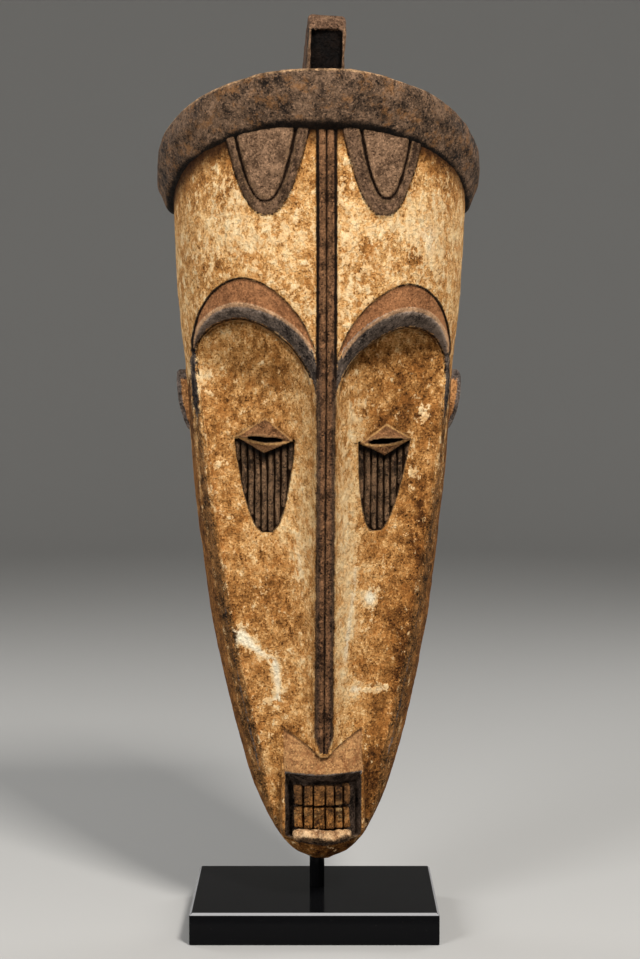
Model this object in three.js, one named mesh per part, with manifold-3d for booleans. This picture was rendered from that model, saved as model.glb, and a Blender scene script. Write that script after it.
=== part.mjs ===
// A carved wooden mask on its display stand: a long heart-shaped face under two deep brows, a full
// round forehead with a heavy brim over it, a crest on the crown, and a black steel post and plate.
// Millimetres, +Z up. The origin is the middle of the plate's underside, and the mask looks along -Y.
import * as THREE from "three";
import { mergeVertices } from "three/addons/utils/BufferGeometryUtils.js";
import Module from "manifold-3d";

const wasm = await Module();
wasm.setup();

// The stand. The post's place is given in the mask's own frame, because it is turned with it.
const PLATE = { width: 200, depth: 160, height: 26, bevel: 1.8, corner: 1.2 };
const POST = { x: -2, y: -5, radius: 6.2, sides: 20, barRadius: 5, barLength: 92 };
const GAP = 0.3;

// The mask's own frame stands here on the plate, turned a little to the viewer's right.
// In it the face looks along -y, and z is the height over the plate's underside.
const MASK = { x: 3.7, y: 15, turn: THREE.MathUtils.degToRad(3.2) };

// The block the face is cut from, as level sections: [height, value] from the chin to the crown.
const HALF_WIDTH = through([
  [58.5, 6],
  [66, 22.5],
  [82, 37],
  [112, 52.2],
  [150, 64.9],
  [200, 77.6],
  [260, 89.7],
  [320, 98],
  [380, 104.6],
  [460, 110],
  [515, 115.7],
  [585, 119.5],
  [650, 121],
]);
const FRONT = through([
  [58.5, 42],
  [66, 56],
  [80, 67],
  [150, 73],
  [300, 88],
  [480, 107],
  [560, 110],
  [650, 104],
]);
const WIDEST_AT = through([
  [58.5, -41],
  [130, -30],
  [229, -16],
  [347, -3],
  [400, 0],
]);
const BACK_EDGE = through([
  [58.5, -24],
  [80, -14],
  [120, 8],
  [200, 30],
  [300, 42],
  [400, 50],
  [600, 55],
]);
const FULLNESS = through([
  [350, 1.9],
  [500, 2.2],
]);
const CHIN = 58.5;
const BACK_TAPER = 0.03;
const WALL = 12;
const HOLLOW_TOP = 604;

// The crown and the brim lie in one plane that falls from the front to the ears and then runs level.
const CROWN = { height: 622, slope: 0.509, level: 8, leanFrom: 535, dome: 18, steps: 4 };
const BRIM = { x: -1, halfWidth: 132.3, depth: 125, back: 46, top: 628.3, height: 38, inward: 34, turn: -3 };
const CREST = { width: 31.4, top: 737, lean: 4, wall: 4, recess: 15, capHeight: 14 };

// The face panel: its outer margin, the dark bevel outside it and the ridge between its halves.
const PANEL_MARGIN = through([
  [86, 5],
  [112, 8],
  [150, 15],
  [250, 16],
  [350, 13.5],
  [400, 12],
  [460, 9],
]);
const BEVEL_MARGIN = through([
  [86, 2.5],
  [150, 5],
  [250, 7.5],
  [350, 4],
  [460, 3.4],
]);
const PANEL = { bottom: 86, lip: 4, dish: 0.62, dishPower: 1.5, nosePower: 9, jawPower: 0.9, bandTurn: 13 };
const RIDGE = { halfWidth: 7.3, rise: 3, grooveWidth: 2, grooveDepth: 2, bottom: 150, sideBottom: 466 };

// One brow on each side: three arches over the same eye, from the lowest to the highest.
// inner is the height where an arch leaves the nose, and drop is how far its outer end falls.
const BROW_POWER = 1.65;
const BROWS = {
  left: {
    band: { x: 67, top: 499.7, inner: 436, outer: 101.5, drop: 28 },
    edge: { x: 68, top: 510.7, inner: 462, outer: 104.5, drop: 36 },
    groove: { x: 65, top: 530.5, inner: 463, outer: 105, drop: 57 },
  },
  right: {
    band: { x: 67, top: 493, inner: 434, outer: 99.5, drop: 28 },
    edge: { x: 67, top: 507, inner: 458, outer: 102.5, drop: 34 },
    groove: { x: 66, top: 525.7, inner: 459, outer: 104, drop: 54 },
  },
};
const CRESCENT_DEPTH = 2;

// Two tongues hang from the brim on each side of the ridge; reach is the half width at 1 mm of height.
const TONGUES = [
  { x: -46.5, tip: 579.4, reach: 5.15, grow: 2 },
  { x: -47.6, tip: 588.8, reach: 4.25, grow: -1 },
  { x: -47.6, tip: 590.6, reach: 3.86, grow: 2 },
  { x: 45, tip: 578.6, reach: 5.1, grow: 2 },
  { x: 47.2, tip: 591, reach: 3.75, grow: -1 },
  { x: 47.2, tip: 593, reach: 3.35, grow: 2 },
];
const TONGUE_POWER = 0.44;
const TONGUE_TOP = 668;

// The eyes: a lozenge lid with a slit, over a sunk field of upright ribs that ends in a round tip.
const EYES = {
  left: {
    lid: { inner: [-23.7, 402], top: [-46.3, 420.4], outer: [-70.4, 405.4], bottom: [-47.4, 391] },
    slit: [-47, 402.6],
    field: { tip: [-45.2, 328.2], top: [-47, 403], halfWidth: 24 },
    ribs: 9,
  },
  right: {
    lid: { inner: [28.5, 399.8], top: [51.7, 415.4], outer: [72.3, 403], bottom: [50.1, 389] },
    slit: [50.6, 401.2],
    field: { tip: [42.8, 329.4], top: [49.5, 401], halfWidth: 22 },
    ribs: 8,
  },
};
const LID = { proud: 10, overhang: 4, root: 9, slitHalfWidth: 14.8, slitHalfHeight: 2, slitDepth: 4 };
const FIELD = { power: 0.37, depth: 2.4, grooveDepth: 2.8, grooveShare: 0.8 };

const EAR = { bottom: 407, top: 458, y: 6, halfDepth: 15, reach: 117.8, fall: 10, dish: 2.5 };

// The muzzle under the nose, with its open mouth and two rows of teeth.
const MUZZLE = { halfWidth: 35, bottom: 78, lip: 135, front: 75, roll: 17 };
const LIP_PANEL = { corner: 168, nose: 148.5, sunk: 2 };
const MOUTH = { halfWidth: 31, bottom: 81, top: 134, innerHalfWidth: 26.5, innerTop: 124, depth: 14 };
const TEETH = {
  widths: [6.6, 6.5, 8.1, 6, 5.6, 5],
  space: 1.1,
  left: -22.7,
  behindLip: 6,
  round: 1,
  rows: [
    [88.3, 104.8],
    [107, 122.6],
  ],
};
const LOWER_LIP = { from: -25, to: 22, z: 83.4, halfHeight: 3.6, halfDepth: 5, behindLip: 5 };

const CARVED_WOOD = new THREE.MeshStandardMaterial({ color: 0xb08a55, roughness: 0.82, metalness: 0 });
const BLACK_STEEL = new THREE.MeshStandardMaterial({ color: 0x0c0c0d, roughness: 0.25, metalness: 0.2 });

// A smooth curve through [place, value] stations that never swings past them.
function through(stations) {
  const count = stations.length;
  const slopes = stations.slice(1).map(([place, value], i) => {
    return (value - stations[i][1]) / (place - stations[i][0]);
  });
  const tangents = stations.map((_, i) => {
    const before = slopes[Math.max(0, i - 1)];
    const after = slopes[Math.min(count - 2, i)];
    return before * after <= 0 ? 0 : (2 * before * after) / (before + after);
  });
  return (place) => {
    const at = THREE.MathUtils.clamp(place, stations[0][0], stations[count - 1][0]);
    let i = 0;
    while (i < count - 2 && at > stations[i + 1][0]) i += 1;
    const [low, from] = stations[i];
    const [high, to] = stations[i + 1];
    const span = high - low;
    const t = (at - low) / span;
    const bend = t * t * (3 - 2 * t);
    const leave = t * (1 - t) * (1 - t) * span * tangents[i];
    const arrive = t * t * (t - 1) * span * tangents[i + 1];
    return from + (to - from) * bend + leave + arrive;
  };
}

function steps(from, to, count) {
  return Array.from({ length: count + 1 }, (_, i) => from + ((to - from) * i) / count);
}

function smooth(value, from, to) {
  return THREE.MathUtils.smoothstep(value, from, to);
}

function signedPower(value, power) {
  return Math.sign(value) * Math.abs(value) ** power;
}

// [x, y, z] points turned about an axis through a centre.
function turned(points, axis, degrees, centre = [0, 0, 0]) {
  const middle = new THREE.Vector3(...centre);
  const direction = new THREE.Vector3(...axis);
  const angle = THREE.MathUtils.degToRad(degrees);
  return points.map((point) => {
    return new THREE.Vector3(...point).sub(middle).applyAxisAngle(direction, angle).add(middle).toArray();
  });
}

// A closed triangle mesh becomes a solid, with its faces turned outwards.
function solidFrom(positions, triangles) {
  const bare = new THREE.BufferGeometry();
  bare.setAttribute("position", new THREE.Float32BufferAttribute(positions, 3));
  bare.setIndex(triangles);
  const merged = mergeVertices(bare, 1e-4);
  const make = (order) => {
    const triVerts = new Uint32Array(merged.index.array);
    for (let i = 0; i < triVerts.length; i += 3) {
      triVerts[i + 1] = merged.index.array[i + order[0]];
      triVerts[i + 2] = merged.index.array[i + order[1]];
    }
    const vertProperties = merged.attributes.position.array;
    return new wasm.Manifold(new wasm.Mesh({ numProp: 3, vertProperties, triVerts }));
  };
  const solid = make([1, 2]);
  return solid.volume() > 0 ? solid : make([2, 1]);
}

// How an end ring is closed: a flat ring by its outline in two axes, a ring that folds back on
// itself by rungs between its two halves.
function flatCap(first, second) {
  return (ring) => {
    const outline = ring.map((point) => new THREE.Vector2(point[first], point[second]));
    const clockwise = THREE.ShapeUtils.area(outline) < 0;
    if (clockwise) outline.reverse();
    const faces = THREE.ShapeUtils.triangulateShape(outline, []);
    return clockwise ? faces.map((face) => face.map((k) => ring.length - 1 - k).reverse()) : faces;
  };
}
function rungCap(ring) {
  const last = ring.length - 1;
  const faces = [];
  for (let i = 0; i < last - i; i += 1) {
    if (i + 1 < last - i) faces.push([i, i + 1, last - i]);
    if (i + 1 < last - i - 1) faces.push([i + 1, last - i - 1, last - i]);
  }
  return faces;
}

// A skin over rings of [x, y, z] points, closed at both ends.
function loft(rings, cap = flatCap(0, 1)) {
  const around = rings[0].length;
  const triangles = [];
  for (let r = 0; r + 1 < rings.length; r += 1) {
    for (let i = 0; i < around; i += 1) {
      const a = r * around + i;
      const b = r * around + ((i + 1) % around);
      triangles.push(a, b, b + around, a, b + around, a + around);
    }
  }
  const last = (rings.length - 1) * around;
  cap(rings[0]).forEach(([a, b, c]) => triangles.push(a, c, b));
  cap(rings[rings.length - 1]).forEach(([a, b, c]) => triangles.push(last + a, last + b, last + c));
  return solidFrom(rings.flat(2), triangles);
}

// A plate that lies on a surface: rows of [x, z] points, between two depths either side of it.
function reliefPatch(rows, surface, front, back) {
  const across = rows[0].length;
  const layer = rows.length * across;
  const positions = [front, back].flatMap((depth) => {
    return rows.flatMap((row) => row.flatMap(([x, z]) => [x, surface(x, z) + depth, z]));
  });
  const triangles = [];
  const quad = (a, b, c, d) => triangles.push(a, b, c, a, c, d);
  for (let r = 0; r + 1 < rows.length; r += 1) {
    for (let i = 0; i + 1 < across; i += 1) {
      const a = r * across + i;
      quad(a, a + 1, a + 1 + across, a + across);
      quad(layer + a, layer + a + across, layer + a + 1 + across, layer + a + 1);
    }
  }
  const wall = (a, b) => quad(b, a, layer + a, layer + b);
  for (let i = 0; i + 1 < across; i += 1) {
    const top = (rows.length - 1) * across + i;
    wall(i, i + 1);
    wall(top + 1, top);
  }
  for (let r = 0; r + 1 < rows.length; r += 1) {
    const a = r * across;
    wall(a + across, a);
    wall(a + across - 1, a + across + across - 1);
  }
  return solidFrom(positions, triangles);
}

// A V cut that follows [x, z] points down a surface.
function groove(points, surface, width, depth) {
  const over = 3;
  const rings = points.map(([x, z]) => {
    const y = surface(x, z);
    const half = (width / 2) * (1 + over / depth);
    return [
      [x - half, y - over, z],
      [x + half, y - over, z],
      [x, y + depth, z],
    ];
  });
  return loft(rings);
}

// The front of the uncut block.
function hullY(x, z) {
  const power = FULLNESS(z);
  const widest = WIDEST_AT(z);
  const out = Math.min(1, Math.abs(x) / HALF_WIDTH(z));
  return widest - (FRONT(z) + widest) * (1 - out ** power) ** (1 / power);
}

// The sunk face: it rises from its outer edge to the nose in a shallow dish, then steeply. Beside
// the mouth it is full instead, so that the jaw comes forward to meet the muzzle.
function panelEdge(z) {
  return HALF_WIDTH(z) - PANEL_MARGIN(z);
}
function faceY(x, z) {
  const edge = panelEdge(z);
  const rim = hullY(edge, z) + PANEL.lip;
  const rise = -rim - (FRONT(z) - RIDGE.rise);
  const t = THREE.MathUtils.clamp((edge - Math.abs(x)) / (edge - RIDGE.halfWidth), 0, 1);
  const dished = PANEL.dish * t ** PANEL.dishPower + (1 - PANEL.dish) * t ** PANEL.nosePower;
  return rim + rise * THREE.MathUtils.lerp(t ** PANEL.jawPower, dished, smooth(z, 110, 200));
}

// A point on a brow arch: turn 0 is its foot on the nose, 0.5 its top and 1 its outer end.
function archPoint(arch, turn) {
  const angle = Math.PI * turn;
  const along = Math.cos(angle);
  const up = Math.sin(angle);
  if (along > 0) {
    const x = arch.x - (arch.x - RIDGE.halfWidth) * along ** (2 / BROW_POWER);
    return [x, arch.inner + (arch.top - arch.inner) * up ** (2 / BROW_POWER)];
  }
  return [arch.x - (arch.outer - arch.x) * along, arch.top - arch.drop * (1 - up)];
}

// How far the crown's plane has fallen at a depth y, and the rows below it, which lean less and less.
function fall(y) {
  return CROWN.slope * (y < 0 ? y : CROWN.level * (1 - Math.exp(-y / CROWN.level)));
}
function leaning(y, level) {
  return level - fall(y) * smooth(level, CROWN.leanFrom, CROWN.height);
}

// The front of the block at a real height: the level of the row that passes there is found first.
function foreheadY(x, z) {
  let level = z;
  for (let i = 0; i < 12; i += 1) {
    level += (z - leaning(hullY(x, level), level)) / 2;
  }
  return hullY(x, level);
}

// One level section of the block, from its right side over the front to its left side and back.
function hullRing(z, halfWidth, front, back, count) {
  const power = 2 / FULLNESS(z);
  const widest = WIDEST_AT(z);
  const ring = steps(0, Math.PI, count).map((angle) => {
    const x = halfWidth * signedPower(Math.cos(angle), power);
    const y = widest - (front + widest) * Math.abs(Math.sin(angle)) ** power;
    return [x, y];
  });
  const sideShares = [0.5, 1];
  const left = sideShares.map((share) => {
    return [-halfWidth * (1 - BACK_TAPER * share * share), widest + (back - widest) * share];
  });
  const right = left.map(([x, y]) => [-x, y]).reverse();
  return [...ring, ...left, ...right].map(([x, y]) => [x, y, leaning(y, z)]);
}

function block() {
  const rows = 24;
  const crowding = 1.6;
  const rings = steps(0, 1, rows).map((share) => {
    const z = CHIN + (CROWN.height - CHIN) * share ** crowding;
    return hullRing(z, HALF_WIDTH(z), FRONT(z), BACK_EDGE(z), 24);
  });
  const edge = rings[rings.length - 1];
  const centre = [0, -25];
  for (let i = 1; i < CROWN.steps; i += 1) {
    const size = Math.cos((Math.PI / 2) * (i / CROWN.steps));
    rings.push(
      edge.map(([x, y]) => {
        const inY = centre[1] + (y - centre[1]) * size;
        return [x * size, inY, CROWN.height - fall(inY) + CROWN.dome * (1 - size * size)];
      }),
    );
  }
  return loft(rings);
}

// The hollow follows the face from behind, a wall's thickness inside it, and is open at the back.
function hollow() {
  const floor = 71;
  const noseFill = 14;
  const browFrom = 512;
  const browTo = 575;
  const archTop = 495;
  const past = 15;
  const side = [1, 0.94, 0.84, 0.7, 0.54, 0.36, 0.18];
  const shares = [...side, 0, ...side.map((s) => -s).reverse()];
  const rings = [...steps(floor, 150, 5), ...steps(180, 500, 8), ...steps(525, HOLLOW_TOP, 4)].map((z) => {
    const wall = WALL - 4 * (1 - smooth(z, floor, 150));
    const half = HALF_WIDTH(z) - wall;
    const front = shares.map((share) => {
      const x = Math.abs(share) * half;
      const face = faceY(Math.max(x, noseFill), Math.min(z, archTop)) + wall;
      const forehead = hullY(x * 1.05, z) + wall;
      const y = THREE.MathUtils.lerp(face, forehead, smooth(z, browFrom, browTo));
      return [share * half, Math.min(y, BACK_EDGE(z) - wall)];
    });
    const rim = half - BACK_TAPER * HALF_WIDTH(z);
    const back = BACK_EDGE(z) + past;
    return [...front, [-rim, back], [rim, back]].map(([x, y]) => [x, y, leaning(y, z)]);
  });
  return loft(rings);
}

// What one side of the face loses: a solid that reaches from the sunk face out past the block.
function panelCut(side, brow) {
  const columns = 8;
  const out = -200;
  const lowRows = steps(0, 1, 13);
  const archRows = steps(0, 0.488, 9).slice(1);
  const rings = [];
  const addRing = (inner, outer) => {
    const face = steps(0, 1, columns).map((step) => {
      const share = step ** 1.5;
      const x = THREE.MathUtils.lerp(inner.foot[0], outer.foot[0], share);
      const z = THREE.MathUtils.lerp(inner.foot[2], outer.foot[2], share);
      return [x, faceY(x, z), z];
    });
    const ring = [[inner.out[0], out, inner.out[2]], inner.out, inner.lip, ...face];
    ring.push(outer.lip, outer.out, [outer.out[0], out, outer.out[2]]);
    rings.push(ring.map(([x, y, z]) => [side * x, y, z]));
  };
  const past = (lip, edge) => edge.map((v, i) => v + 0.8 * (v - lip[i]));
  const noseSide = (z) => {
    const lip = [RIDGE.halfWidth, -(FRONT(z) - RIDGE.rise), z];
    const edge = [RIDGE.halfWidth - 1, -FRONT(z), z];
    return { foot: [RIDGE.halfWidth + 0.6, 0, z], lip, out: past(lip, edge) };
  };
  const rimSide = (z) => {
    const lip = [panelEdge(z), hullY(panelEdge(z), z) + PANEL.lip - 1.5, z];
    const bevel = HALF_WIDTH(z) - BEVEL_MARGIN(z);
    const edge = [bevel, hullY(bevel, z), z];
    return { foot: [panelEdge(z) - 1.5, 0, z], lip, out: past(lip, edge) };
  };
  const browSide = (turn) => {
    const [x, z] = archPoint(brow.band, turn);
    const [edgeX, edgeZ] = archPoint(brow.edge, turn);
    const edge = [edgeX, hullY(edgeX, edgeZ), edgeZ];
    const depth = Math.min(edge[1] + PANEL.bandTurn, faceY(x, z) - 1);
    const lip = [x, depth, z];
    const inwards = turn < 0.5 ? 1 : -1;
    const undercut = 2 * inwards * Math.abs(Math.cos(Math.PI * turn));
    return { foot: [x + undercut, 0, z - 2], lip, out: past(lip, edge) };
  };
  const outerFrom = brow.band.top - brow.band.drop;
  lowRows.forEach((share) => {
    const innerZ = THREE.MathUtils.lerp(PANEL.bottom, brow.band.inner - 6, share);
    const outerZ = THREE.MathUtils.lerp(PANEL.bottom, outerFrom - 6, share);
    addRing(noseSide(innerZ), rimSide(outerZ));
  });
  archRows.forEach((turn) => addRing(browSide(turn), browSide(1 - turn)));
  return loft(rings, rungCap);
}

// The shallow crescent between a brow's edge and the groove over it.
function crescentCut(side, brow) {
  const rows = steps(0.08, 0.92, 14).map((turn) => {
    const low = archPoint(brow.edge, turn);
    const high = archPoint(brow.groove, turn);
    const middle = [0.5, 0.5].map((_, i) => (low[i] + high[i]) / 2);
    return [low, middle, high].map(([x, z]) => [side * x, z]);
  });
  return reliefPatch(rows, hullY, -6, CRESCENT_DEPTH);
}

function tonguePatch(tongue) {
  const heights = steps(0, 1, 9).map((share) => 0.6 + (TONGUE_TOP - tongue.tip) * share ** 1.7);
  const rows = heights.map((height) => {
    const half = tongue.reach * height ** TONGUE_POWER;
    return steps(-half, half, 4).map((x) => [tongue.x + x, tongue.tip + height]);
  });
  return tongue.grow > 0
    ? reliefPatch(rows, foreheadY, -tongue.grow, 4)
    : reliefPatch(rows, foreheadY, -6, -tongue.grow);
}

function ridgeGrooves() {
  const surface = (x, z) => foreheadY(0, z);
  const middle = steps(RIDGE.bottom, 668, 14).map((z) => [0, z]);
  const sides = [-1, 1].map((side) => {
    return steps(RIDGE.sideBottom, 668, 6).map((z) => [side * (RIDGE.halfWidth + 0.4), z]);
  });
  return [middle, ...sides].map((points) => groove(points, surface, RIDGE.grooveWidth, RIDGE.grooveDepth));
}

// The sunk field under an eye, then the cuts that leave its ribs standing.
function fieldHalfWidth(field, z) {
  const height = field.top[1] - field.tip[1];
  return field.halfWidth * Math.max(0, (z - field.tip[1]) / height) ** FIELD.power;
}
function fieldCentre(field, z) {
  const share = (z - field.tip[1]) / (field.top[1] - field.tip[1]);
  return THREE.MathUtils.lerp(field.tip[0], field.top[0], share);
}
function ribCuts({ field, ribs }) {
  const rows = steps(0, 1, 8).map((share) => {
    const z = field.tip[1] + 0.4 + (field.top[1] - field.tip[1] - 0.4) * share ** 1.8;
    const half = fieldHalfWidth(field, z);
    return steps(-half, half, 6).map((x) => [fieldCentre(field, z) + x, z]);
  });
  const cuts = [reliefPatch(rows, faceY, -6, FIELD.depth)];
  const floor = (x, z) => faceY(x, z) + FIELD.depth;
  const pitch = (2 * field.halfWidth) / ribs;
  for (let i = 1; i < ribs; i += 1) {
    const x = field.top[0] + (i - ribs / 2) * pitch;
    const reach = (z) => fieldHalfWidth(field, z) - (pitch * FIELD.grooveShare) / 2;
    const inside = (z) => Math.abs(x - fieldCentre(field, z)) < reach(z);
    const heights = steps(field.tip[1], field.top[1], 60).filter(inside);
    const points = steps(heights[0], field.top[1], 4).map((z) => [x, z]);
    cuts.push(groove(points, floor, pitch * FIELD.grooveShare, FIELD.grooveDepth));
  }
  return cuts;
}

// A lid stands out along its slit, and its lower half overhangs the ribs.
function lidSolid({ lid, slit }) {
  const crest = (x, z) => faceY(x, z) - LID.proud;
  const spread = (to, share) => [slit[0] + (to[0] - slit[0]) * share, slit[1] + (to[1] - slit[1]) * share];
  const outline = [lid.inner, lid.top, lid.outer, lid.bottom];
  const proud = [LID.overhang, 0.5, LID.overhang, LID.overhang];
  const back = outline.map(([x, z]) => [x, faceY(x, z) + LID.root, z]);
  const foot = outline.map(([x, z], i) => [x, faceY(x, z) - proud[i], z]);
  const top = outline.map((corner, i) => {
    const [x, z] = spread(corner, i % 2 ? 0.14 : 0.68);
    return [x, crest(...slit), z];
  });
  return loft([back, foot, top], flatCap(0, 2));
}
function slitCut({ slit }) {
  const outline = steps(0, 2 * Math.PI, 14).slice(0, -1);
  const ring = (y) =>
    outline.map((angle) => [
      slit[0] + LID.slitHalfWidth * Math.cos(angle),
      y,
      slit[1] + LID.slitHalfHeight * signedPower(Math.sin(angle), 1.6),
    ]);
  const depth = faceY(...slit) + LID.slitDepth;
  return loft([ring(-90), ring(depth)], flatCap(0, 2));
}

// An ear is a lug on the side of the head. It is widest near its top, its outer face is dished, and
// it draws in to the head at its lower end.
function ear(side) {
  const middle = (EAR.bottom + EAR.top) / 2;
  const halfHeight = (EAR.top - EAR.bottom) / 2;
  const angles = steps(0, 2 * Math.PI, 16).slice(0, -1);
  const ring = (reach, size) =>
    angles.map((angle) => {
      const up = Math.sin(angle) * size;
      const z = middle + halfHeight * up;
      const y = EAR.y + EAR.halfDepth * size * (1 + 0.25 * up) * Math.cos(angle);
      const drawnIn = EAR.fall * ((1 - up) / 2) ** 2.5;
      return [side * (reach - drawnIn), y, z];
    });
  const root = HALF_WIDTH(middle) - 6;
  const reach = EAR.reach;
  const rim = [ring(reach - 3, 1), ring(reach, 0.86), ring(reach, 0.66)];
  return loft([ring(root, 1), ...rim, ring(reach - EAR.dish, 0.46)], flatCap(1, 2));
}

// The brim's section, from its inner top edge round the outside: its face is upright, then it turns
// under. It is carried along an ellipse over the face, then straight to the back edge.
function brim() {
  const section = [
    [-BRIM.inward, -7],
    [-5, 0],
    [-1.4, -1.4],
    [0, -6],
    [0, -0.45 * BRIM.height],
    [-3, -0.65 * BRIM.height],
    [-5.7, -0.84 * BRIM.height],
    [-8.5, -0.95 * BRIM.height],
    [-13, -BRIM.height],
    [-BRIM.inward, -BRIM.height + 2],
  ];
  const ringAt = (x, y, outX, outY) =>
    section.map(([out, up]) => [BRIM.x + x + outX * out, y + outY * out, BRIM.top - fall(y) + up]);
  const rings = steps(-Math.PI / 2, Math.PI / 2, 34).map((angle) => {
    const x = BRIM.halfWidth * Math.sin(angle);
    const y = -BRIM.depth * Math.cos(angle);
    const normal = new THREE.Vector2(x / BRIM.halfWidth ** 2, y / BRIM.depth ** 2).normalize();
    return ringAt(x, y, normal.x, normal.y);
  });
  [8, 20, BRIM.back].forEach((y) => {
    const side = BRIM.halfWidth * (1 - BACK_TAPER * (y / BRIM.back) ** 2);
    rings.unshift(ringAt(-side, y, -1, 0));
    rings.push(ringAt(side, y, 1, 0));
  });
  return loft(rings.map((ring) => turned(ring, [0, 0, 1], BRIM.turn)), flatCap(0, 2));
}

// The crest: a strap that stands up from the crown and sweeps down to the back. Its front is
// hollowed under a cap, and it leans a little to one side.
function crest() {
  const profile = [
    [-94, 668],
    [-92, 700],
    [-90, 721],
    [-87, 731],
    [-80, 736.4],
    [-66, CREST.top],
    [-46, 731],
    [-24, 714],
    [-4, 690],
    [16, 662],
    [26, 636],
    [-40, 636],
  ];
  const middle = [-40, 690];
  const half = CREST.width / 2;
  const chamfer = 3;
  const ring = (x, inset) =>
    profile.map(([y, z]) => [
      x,
      middle[0] + (y - middle[0]) * (1 - inset / 60),
      middle[1] + (z - middle[1]) * (1 - inset / 49),
    ]);
  const flank = half - chamfer;
  const layers = [ring(-half, chamfer), ring(-flank, 0), ring(flank, 0), ring(half, chamfer)];
  const lean = (points) => turned(points, [0, 1, 0], CREST.lean, [0, 0, middle[1]]);
  const inner = half - CREST.wall;
  const roof = CREST.top - CREST.capHeight;
  const recess = (x) => [
    [x, -120, 660],
    [x, -120, roof],
    [x, -90 + CREST.recess, roof + 2],
    [x, -94 + 0.8 * CREST.recess, 676],
    [x, -94, 660],
  ];
  const strap = loft(layers.map(lean), flatCap(1, 2));
  return strap.subtract(loft([recess(-inner), recess(inner)].map(lean), flatCap(1, 2)));
}

// The muzzle: a rounded block with the mouth in it. Its upper lip is a panel that leans back to the
// nose, where it is sunk under two curved edges.
function lipY(x) {
  return -(MUZZLE.front - MUZZLE.roll * (x / MUZZLE.halfWidth) ** 2);
}
function lipRow(share) {
  return steps(-MOUTH.halfWidth, MOUTH.halfWidth, 12).map((x) => {
    const aside = THREE.MathUtils.clamp((Math.abs(x) - 5) / (MOUTH.halfWidth - 5), 0, 1);
    const top = LIP_PANEL.nose + (LIP_PANEL.corner - LIP_PANEL.nose) * aside ** 0.85;
    const y = THREE.MathUtils.lerp(lipY(x), faceY(x, top) + LIP_PANEL.sunk, share);
    return [x, y, THREE.MathUtils.lerp(MUZZLE.lip, top, share)];
  });
}
function patchThrough(places, front, back) {
  const depths = new Map(places.flat().map(([x, y, z]) => [`${x} ${z}`, y]));
  const rows = places.map((row) => row.map(([x, , z]) => [x, z]));
  return reliefPatch(rows, (x, z) => depths.get(`${x} ${z}`), front, back);
}
function muzzle() {
  const rows = [MUZZLE.bottom, 84, 100, 118, MUZZLE.lip, 147].map((z) => {
    const half = Math.min(MUZZLE.halfWidth, HALF_WIDTH(z) - 2);
    const back = 6 * (1 - smooth(z, MUZZLE.bottom, 88)) + 14 * smooth(z, MUZZLE.lip, 150);
    return steps(-half, half, 12).map((x) => [x, lipY(x) + back, z]);
  });
  return patchThrough(rows, 0, 28).add(patchThrough([0, 0.5, 1].map(lipRow), 0, 20));
}
function lipCut() {
  return patchThrough([0, 0.5, 1].map(lipRow), -30, 0);
}
function mouthCut() {
  const inside = steps(-MOUTH.innerHalfWidth, MOUTH.innerHalfWidth, 6);
  const columns = [-MOUTH.halfWidth, ...inside, MOUTH.halfWidth];
  const rows = [MOUTH.bottom, MOUTH.innerTop, MOUTH.top].map((z) => columns.map((x) => [x, z]));
  const onEdge = (x, z) => Math.abs(x) === MOUTH.halfWidth || z === MOUTH.top;
  const floor = (x, z) => lipY(x) + (onEdge(x, z) ? 0.3 : MOUTH.depth);
  return reliefPatch(rows, floor, -30, 0);
}

// Each tooth is a peg with a bevelled face, and the lower lip is a roll under them.
function teeth() {
  const starts = TEETH.widths.map((_, i) => {
    return TEETH.widths.slice(0, i).reduce((x, width) => x + width + TEETH.space, TEETH.left);
  });
  return TEETH.widths.flatMap((width, i) => {
    const right = starts[i] + width;
    const y = lipY(starts[i] + width / 2) + TEETH.behindLip;
    return TEETH.rows.map(([bottom, top]) => {
      const outline = (inset, depth) => [
        [starts[i] + inset, depth, bottom + inset],
        [right - inset, depth, bottom + inset],
        [right - inset, depth, top - inset],
        [starts[i] + inset, depth, top - inset],
      ];
      const root = outline(0, lipY(starts[i]) + MOUTH.depth + 3);
      return loft([root, outline(0, y + TEETH.round), outline(TEETH.round, y)], flatCap(0, 2));
    });
  });
}
function lowerLip() {
  const angles = steps(0, 2 * Math.PI, 10).slice(0, -1);
  const rings = steps(LOWER_LIP.from, LOWER_LIP.to, 8).map((x) => {
    return angles.map((angle) => {
      const y = lipY(x) + LOWER_LIP.behindLip + LOWER_LIP.halfDepth * Math.cos(angle);
      return [x, y, LOWER_LIP.z + LOWER_LIP.halfHeight * Math.sin(angle)];
    });
  });
  return loft(rings, flatCap(1, 2));
}

function maskSolid() {
  let solid = block();
  ["left", "right"].forEach((name) => {
    const side = name === "left" ? -1 : 1;
    solid = solid.subtract(panelCut(side, BROWS[name]));
    solid = solid.subtract(crescentCut(side, BROWS[name]));
    solid = solid.add(ear(side));
  });
  solid = solid.add(muzzle()).subtract(lipCut());
  TONGUES.forEach((tongue) => {
    solid = tongue.grow > 0 ? solid.add(tonguePatch(tongue)) : solid.subtract(tonguePatch(tongue));
  });
  ridgeGrooves().forEach((cut) => {
    solid = solid.subtract(cut);
  });
  Object.values(EYES).forEach((eye) => {
    ribCuts(eye).forEach((cut) => {
      solid = solid.subtract(cut);
    });
    solid = solid.add(lidSolid(eye));
  });
  solid = solid.subtract(mouthCut());
  teeth().forEach((tooth) => {
    solid = solid.add(tooth);
  });
  solid = solid.add(lowerLip()).add(brim()).add(crest());
  solid = solid.subtract(hollow());
  Object.values(EYES).forEach((eye) => {
    solid = solid.subtract(slitCut(eye));
  });
  return solid;
}

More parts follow.
